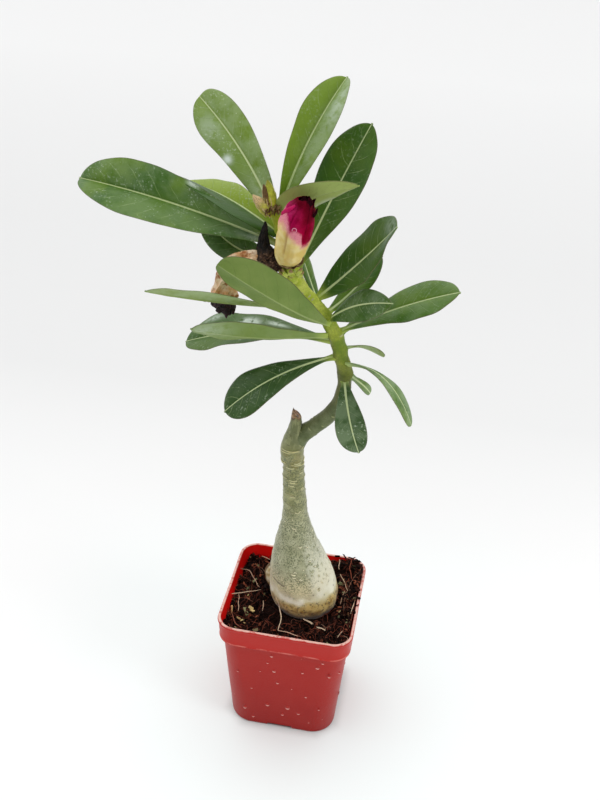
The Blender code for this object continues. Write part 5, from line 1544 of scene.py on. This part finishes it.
dry = look.mix(patch["Grain"], dry, (0.055, 0.02, 0.01), 0.5)
look.paint(dry, patch["Grain"], 0.2)
make_piece("dry_calyx", np.array(cup), calyx_skin, "calyx", "bloom_calyx", smooth=60)
BRACTS = [   # start, end, which way they face, width, bow, seed, thickness
    ((-5.2, -9.6, 258.6), (-3.0, -12.6, 263.4), (0.6, -0.8, 0), 3.6, 0.5, 21, 0.8),
    ((-7.6, -10.8, 258.2), (-7.4, -13.8, 262.6), (0, -1, 0.1), 3.2, 0.5, 22, 0.7),
    ((-9.6, -9.6, 257.6), (-11.6, -12.4, 261.8), (-0.5, -1, 0.1), 3.0, 0.5, 23, 0.7),
    ((-5.0, -6.4, 256.0), (-2.6, -9.0, 260.4), (0.8, -0.6, 0), 2.8, 0.4, 24, 0.7),
    ((-8.4, -6.0, 256.0), (-11.6, -9.2, 258.6), (-0.3, -1, 0.1), 2.6, 0.4, 25, 0.6),
    ((-10.4, -9.0, 258.6), (-14.0, -10.8, 261.8), (-0.3, -1, 0.3), 3.4, 0.5, 27, 0.9),
    ((-9.8, -9.8, 256.6), (-13.0, -11.4, 259.4), (-0.3, -1, 0.3), 3.0, 0.5, 28, 0.9),
    ((-8.6, -6.4, 252.6), (-11.2, -7.4, 257.4), (-0.6, -0.8, 0.2), 4.6, 0.5, 29, 1.2),
    ((-6.4, -6.6, 253.4), (-8.6, -9.4, 258.6), (-0.3, -1, 0.2), 4.0, 0.5, 30, 1.2),
    ((-7.8, -8.4, 260.0), (-9.4, -4.8, 263.4), (0, 1, 0.1), 3.2, 0.5, 26, 0.7)]
bract_skin, look = new_material("bract_skin", 0.5, 0.35)
patch = look.place(mottle, Size=3.0, Grain=0.6)
fresh = look.mix(patch["Patches"], (0.44, 0.54, 0.040), (0.70, 0.74, 0.17))
reached = look.plus("along", look.times(look.noise(1.6), 0.4))
colour = look.mix(look.rise(reached, 0.75, 1.05), fresh, (0.36, 0.22, 0.10))
look.paint(colour)
points, faces, along = join_parts(
    strip(start, end, out, width, bow, 0.3, 0.1, seed, thick=thick)
    for start, end, out, width, bow, seed, thick in BRACTS)
make_piece("stalk_bracts", points, bract_skin, "bud", faces=faces, smooth=70, along=along)

# %% [markdown]
# ## The withered bloom and the dried flower
# Two older blooms hang beside it. One is a limp, peach-coloured bag that droops behind the front leaf
# and ends in a torn, nearly black mass of petal tips. The other has shrivelled to a dark tangle with one
# upright spike. Both are tubes with strong seeded creases, and torn strips stand out of them.

# %% Withered bag
WITHERED_BLOOM = [
    (-19.6, -8.6, 264.0, 1.4), (-22.4, -8.2, 264.4, 2.2), (-25.6, -7.8, 263.8, 2.7),
    (-29.0, -7.5, 262.2, 3.2), (-32.2, -7.0, 260.2, 3.7), (-35.0, -6.2, 257.0, 4.1),
    (-36.6, -5.2, 252.7, 4.8), (-37.7, -4.2, 247.9, 5.5), (-38.5, -3.9, 243.4, 5.9),
    (-39.0, -4.2, 240.6, 5.0), (-39.2, -4.6, 239.0, 3.4)]


def creased(depth, size, seed):
    """Relief of a dried skin: sharp folds that run along it, and crumples across."""
    def relief(angle, share):
        """The radius at an angle and a share of the length, as a share of the smooth one."""
        way = np.stack(np.broadcast_arrays(6 * np.cos(angle), 6 * np.sin(angle), 14 * share), -1)
        folds = 0.75 - 1.5 * np.abs(waves(way, size, seed)) ** 0.8
        return 1 + depth * folds + 0.35 * depth * waves(way * (1, 1, 2.2), size * 0.45, seed + 1)
    return relief


BAG_ROWS, BAG_COLUMNS = 150, 110
bag = tube(WITHERED_BLOOM, BAG_ROWS, BAG_COLUMNS, creased(0.17, 6.5, 61))
skin, look = new_material("withered_skin", 0.58, 0.3)
patch = look.place(mottle, Size=4.5, Grain=0.6)
peach = look.mix(patch["Patches"], (0.70, 0.37, 0.15), (0.95, 0.76, 0.54))
streak = look.clouds(3.6, 0.50, 0.64, 5.0)
brown = look.mix(streak, peach, (0.42, 0.155, 0.045))
pink = look.mix(look.clouds(7.5, 0.58, 0.66, 2.0), brown, (0.66, 0.26, 0.34))
height_mm = look.height()
dark_end = look.plus(height_mm, look.times(look.noise(3.0, 4.0), 7.0))
colour = look.mix(look.rise(dark_end, 245.4, 243.4), pink, (0.020, 0.005, 0.008))
look.paint(colour, patch["Grain"], 0.12)
make_piece("withered_bag", bag, skin, "withered_petal", "withered_bloom", smooth=70)

# %% Torn petal tips under the bag
WITHERED_TIPS = [
    (-39.4, -4.0, 242.6, 4.0), (-40.6, -4.6, 240.6, 3.6), (-42.4, -4.8, 238.6, 2.4),
    (-43.6, -5.0, 237.0, 1.0)]
WITHERED_TIPS_TORN = [
    (-38.2, -4.2, 242.8, 5.0), (-38.3, -4.6, 240.0, 4.8), (-36.9, -5.0, 237.0, 3.6),
    (-36.0, -5.2, 234.6, 1.7), (-35.7, -5.2, 233.4, 0.6)]
TORN_STRIPS = [   # start, end, which way they face, width, bow, cup, how torn, seed
    ((-44.0, -6.0, 240.2), (-47.6, -6.4, 239.2), (0, -1, 0.3), 1.8, 0.2, 0.3, 0.4, 31),
    ((-40.6, -8.2, 240.6), (-39.6, -8.4, 235.0), (0, -1, 0.1), 5.2, 0.3, 0.3, 0.4, 32),
    ((-37.4, -8.6, 240.6), (-36.4, -8.2, 233.0), (0, -1, 0.1), 5.0, 0.3, 0.3, 0.5, 33),
    ((-34.6, -6.4, 240.8), (-33.6, -6.4, 234.4), (0.6, -0.8, 0.1), 3.6, 0.3, 0.3, 0.4, 34),
    ((-34.4, -3.0, 241.2), (-34.6, -2.4, 236.4), (1, 0.3, 0), 4.4, 0.3, 0.3, 0.4, 35),
    ((-38.4, -0.2, 241.0), (-37.8, 0.2, 235.2), (0, 1, 0), 5.4, 0.3, 0.3, 0.4, 36),
    ((-42.6, -2.4, 241.0), (-42.8, -2.2, 236.2), (-0.8, 0.6, 0), 4.4, 0.3, 0.3, 0.4, 37)]
char, look = new_material("charred_petal", 0.5, 0.3)
patch = look.place(mottle, Size=2.5, Grain=0.5)
char_colour = look.mix(patch["Patches"], (0.008, 0.003, 0.004), (0.040, 0.010, 0.014))
faded = look.clouds(4.2, 0.58, 0.72)
char_colour = look.mix(faded, char_colour, (0.26, 0.13, 0.11), 0.6)
look.paint(char_colour, patch["Grain"], 0.12)
TIP_ROWS, TIP_COLUMNS = 40, 44
torn_parts = [(tube(line, TIP_ROWS, TIP_COLUMNS, creased(0.22, 4.0, seed)), 0.5)
              for line, seed in ((WITHERED_TIPS, 65), (WITHERED_TIPS_TORN, 67))]
points, faces, _ = join_parts(torn_parts + [strip(*row) for row in TORN_STRIPS])
make_piece("torn_tips", points, char, "dried_petal", faces=faces, smooth=60)

# %% Dried flower with its spike
DRIED_FLOWER = [
    (-12.2, -9.0, 261.0, 2.0), (-14.4, -9.2, 262.2, 3.2), (-17.2, -9.0, 263.6, 4.1),
    (-18.8, -8.6, 265.4, 4.0), (-20.2, -8.2, 268.6, 2.8), (-20.6, -8.0, 272.0, 2.1),
    (-20.5, -7.8, 275.4, 1.5), (-20.2, -7.6, 278.2, 0.9), (-20.2, -7.6, 280.2, 0.35)]
HUSK_ROWS, HUSK_COLUMNS = 140, 76
husk_body = tube(DRIED_FLOWER, HUSK_ROWS, HUSK_COLUMNS, creased(0.26, 4.2, 71))
dried, look = new_material("dried_flower_skin", 0.7, 0.3)
patch = look.place(mottle, Size=1.8, Grain=0.45)
height_mm = look.height()
low_part = look.mix(patch["Patches"], (0.018, 0.006, 0.004), (0.120, 0.055, 0.028))
fibres = look.clouds(0.8, 0.54, 0.68)
low_part = look.mix(fibres, low_part, (0.36, 0.21, 0.12), 0.7)
spike = look.mix(patch["Patches"], (0.004, 0.004, 0.003), (0.022, 0.014, 0.012))
blend_height = look.plus(height_mm, look.times(look.noise(3.0), 6.0))
colour = look.mix(look.rise(blend_height, 268.0, 273.0), low_part, spike)
look.paint(colour, patch["Grain"], 0.25)
make_piece("dried_husk", husk_body, dried, "dried_petal", "dried_flower", smooth=60)
SHRED_COUNT = 26
SHRED_SEED = 77
random = np.random.default_rng(SHRED_SEED)
shreds = []
for k in range(SHRED_COUNT):
    share = random.uniform(0.0, 0.45)
    middle = spline(DRIED_FLOWER, 100)[int(share * 99)]
    way = random.normal(size=3) * (1.0, 0.7, 0.6) + (0.2, -0.7, 0.1)
    way = way / np.linalg.norm(way)
    start = middle[:3] + way * middle[3] * 0.7
    along_way = random.normal(size=3) * (1.0, 0.5, 0.7) + way * 0.5
    end = start + along_way / np.linalg.norm(along_way) * random.uniform(2.0, 4.6)
    width, bow = random.uniform(0.5, 1.7), random.uniform(-0.3, 0.8)
    shreds.append(strip(start, end, way, width, bow, 0.4, 0.4, 80 + k))
points, faces, _ = join_parts(shreds)
make_piece("dried_shreds", points, dried, "dried_petal", faces=faces, smooth=60)

# %% [markdown]
# ## Buds at the tip
# The shoot ends in three small scaly buds: a tan one that leans left, a narrow brown one, and a taller
# green one. Each is a slim core wrapped by cupped, pointed scales. Between them the scars of shed scales
# make a rough brown patch.

# %% Buds
BUDS = [
    ("tan_pink", (0.78, 0.56, 0.28), (0.46, 0.46, 0.06), (-19.8, -1.6, 281.8), (-27.0, -3.0, 289.8),
     6.2, 0.62),
    ("brown", (0.16, 0.085, 0.02), (0.42, 0.36, 0.06), (-20.2, -1.2, 284.0), (-22.6, -2.2, 294.6), 4.4, 0.42),
    ("green", (0.30, 0.30, 0.03), (0.42, 0.46, 0.04), (-18.8, -0.2, 283.8), (-21.2, -0.9, 296.2), 5.9, 0.90)]
BUD_SCALES = [(25, 1.0), (150, 0.9), (265, 0.82), (85, 0.7)]   # compass angle, reach as a share of the bud
BUD_ROWS, BUD_COLUMNS = 40, 24
for seed, (name, tip_colour, low_colour, foot, tip, width, change) in enumerate(BUDS):
    scale_skin, look = new_material("bud_" + name + "_skin", 0.5, 0.35)
    patch = look.place(mottle, Size=2.0, Grain=0.5)
    along = look.value("along")
    low = look.mix(patch["Patches"], low_colour, tuple(1.5 * c for c in low_colour))
    high = look.mix(patch["Grain"], tip_colour, tuple(0.6 * c for c in tip_colour))
    reached = look.plus(along, look.times(look.noise(1.8), 0.3))
    colour = look.mix(look.rise(reached, change - 0.2, change + 0.3), low, high)
    colour = look.mix(look.rise("edge", 0.80, 0.98), colour, (0.62, 0.50, 0.25))
    look.paint(colour, patch["Grain"], 0.08)
    foot, tip = np.array(foot), np.array(tip)
    line = [tuple(foot + (tip - foot) * s) + (width * r,) for s, r in
            ((0.0, 0.30), (0.25, 0.36), (0.55, 0.30), (0.8, 0.16), (0.97, 0.03))]
    parts = [(tube(line, BUD_ROWS, BUD_COLUMNS), 0.5)]
    for k, (turn_by, reach) in enumerate(BUD_SCALES):
        out = compass(turn_by)
        start = foot + out * width * 0.28
        end = foot + (tip - foot) * reach + out * width * 0.04
        parts.append(strip(start, end, out, width, 0.16 * width, 0.55, 0.08, 90 + 5 * seed + k, 0.75, 0.3))
    points, faces, along = join_parts(parts)
    section = np.abs(np.concatenate([np.linspace(-1, 1, STRIP_COLUMNS), np.linspace(1, -1, STRIP_COLUMNS)]))
    edge = np.concatenate([np.zeros(BUD_ROWS * BUD_COLUMNS), np.tile(section, len(BUD_SCALES) * STRIP_ROWS)])
    make_piece("bud_scales_" + name, points, scale_skin, "bud", "bud_" + name, faces=faces, smooth=60,
               along=along, edge=edge)
SCAR_LUMPS = 56
LUMP_SEED = 19
LUMP_MIDDLE = np.array([-18.9, -0.2, 283.4])
random = np.random.default_rng(LUMP_SEED)
lumps = []
for k in range(SCAR_LUMPS):
    way = unit(random.normal(size=3) * (1.0, 0.8, 0.6) + (0.3, -0.8, 0.2))
    start = LUMP_MIDDLE + way * random.uniform(1.8, 4.2) * (1, 1, 0.7) + (0, 0, random.uniform(-1.0, 1.8))
    end = start + way * random.uniform(0.6, 1.3) + (0, 0, random.uniform(-0.2, 1.1))
    lumps.append(strip(start, end, (way[1], -way[0], 0.3), random.uniform(1.0, 2.2), 0.1, 0.2, 0.3, 120 + k,
                       0.8, 0.6))
points, faces, _ = join_parts(lumps)
make_piece("scale_scars", points, calyx_skin, "bud", faces=faces, smooth=60)

# %% Finish
print("finished")
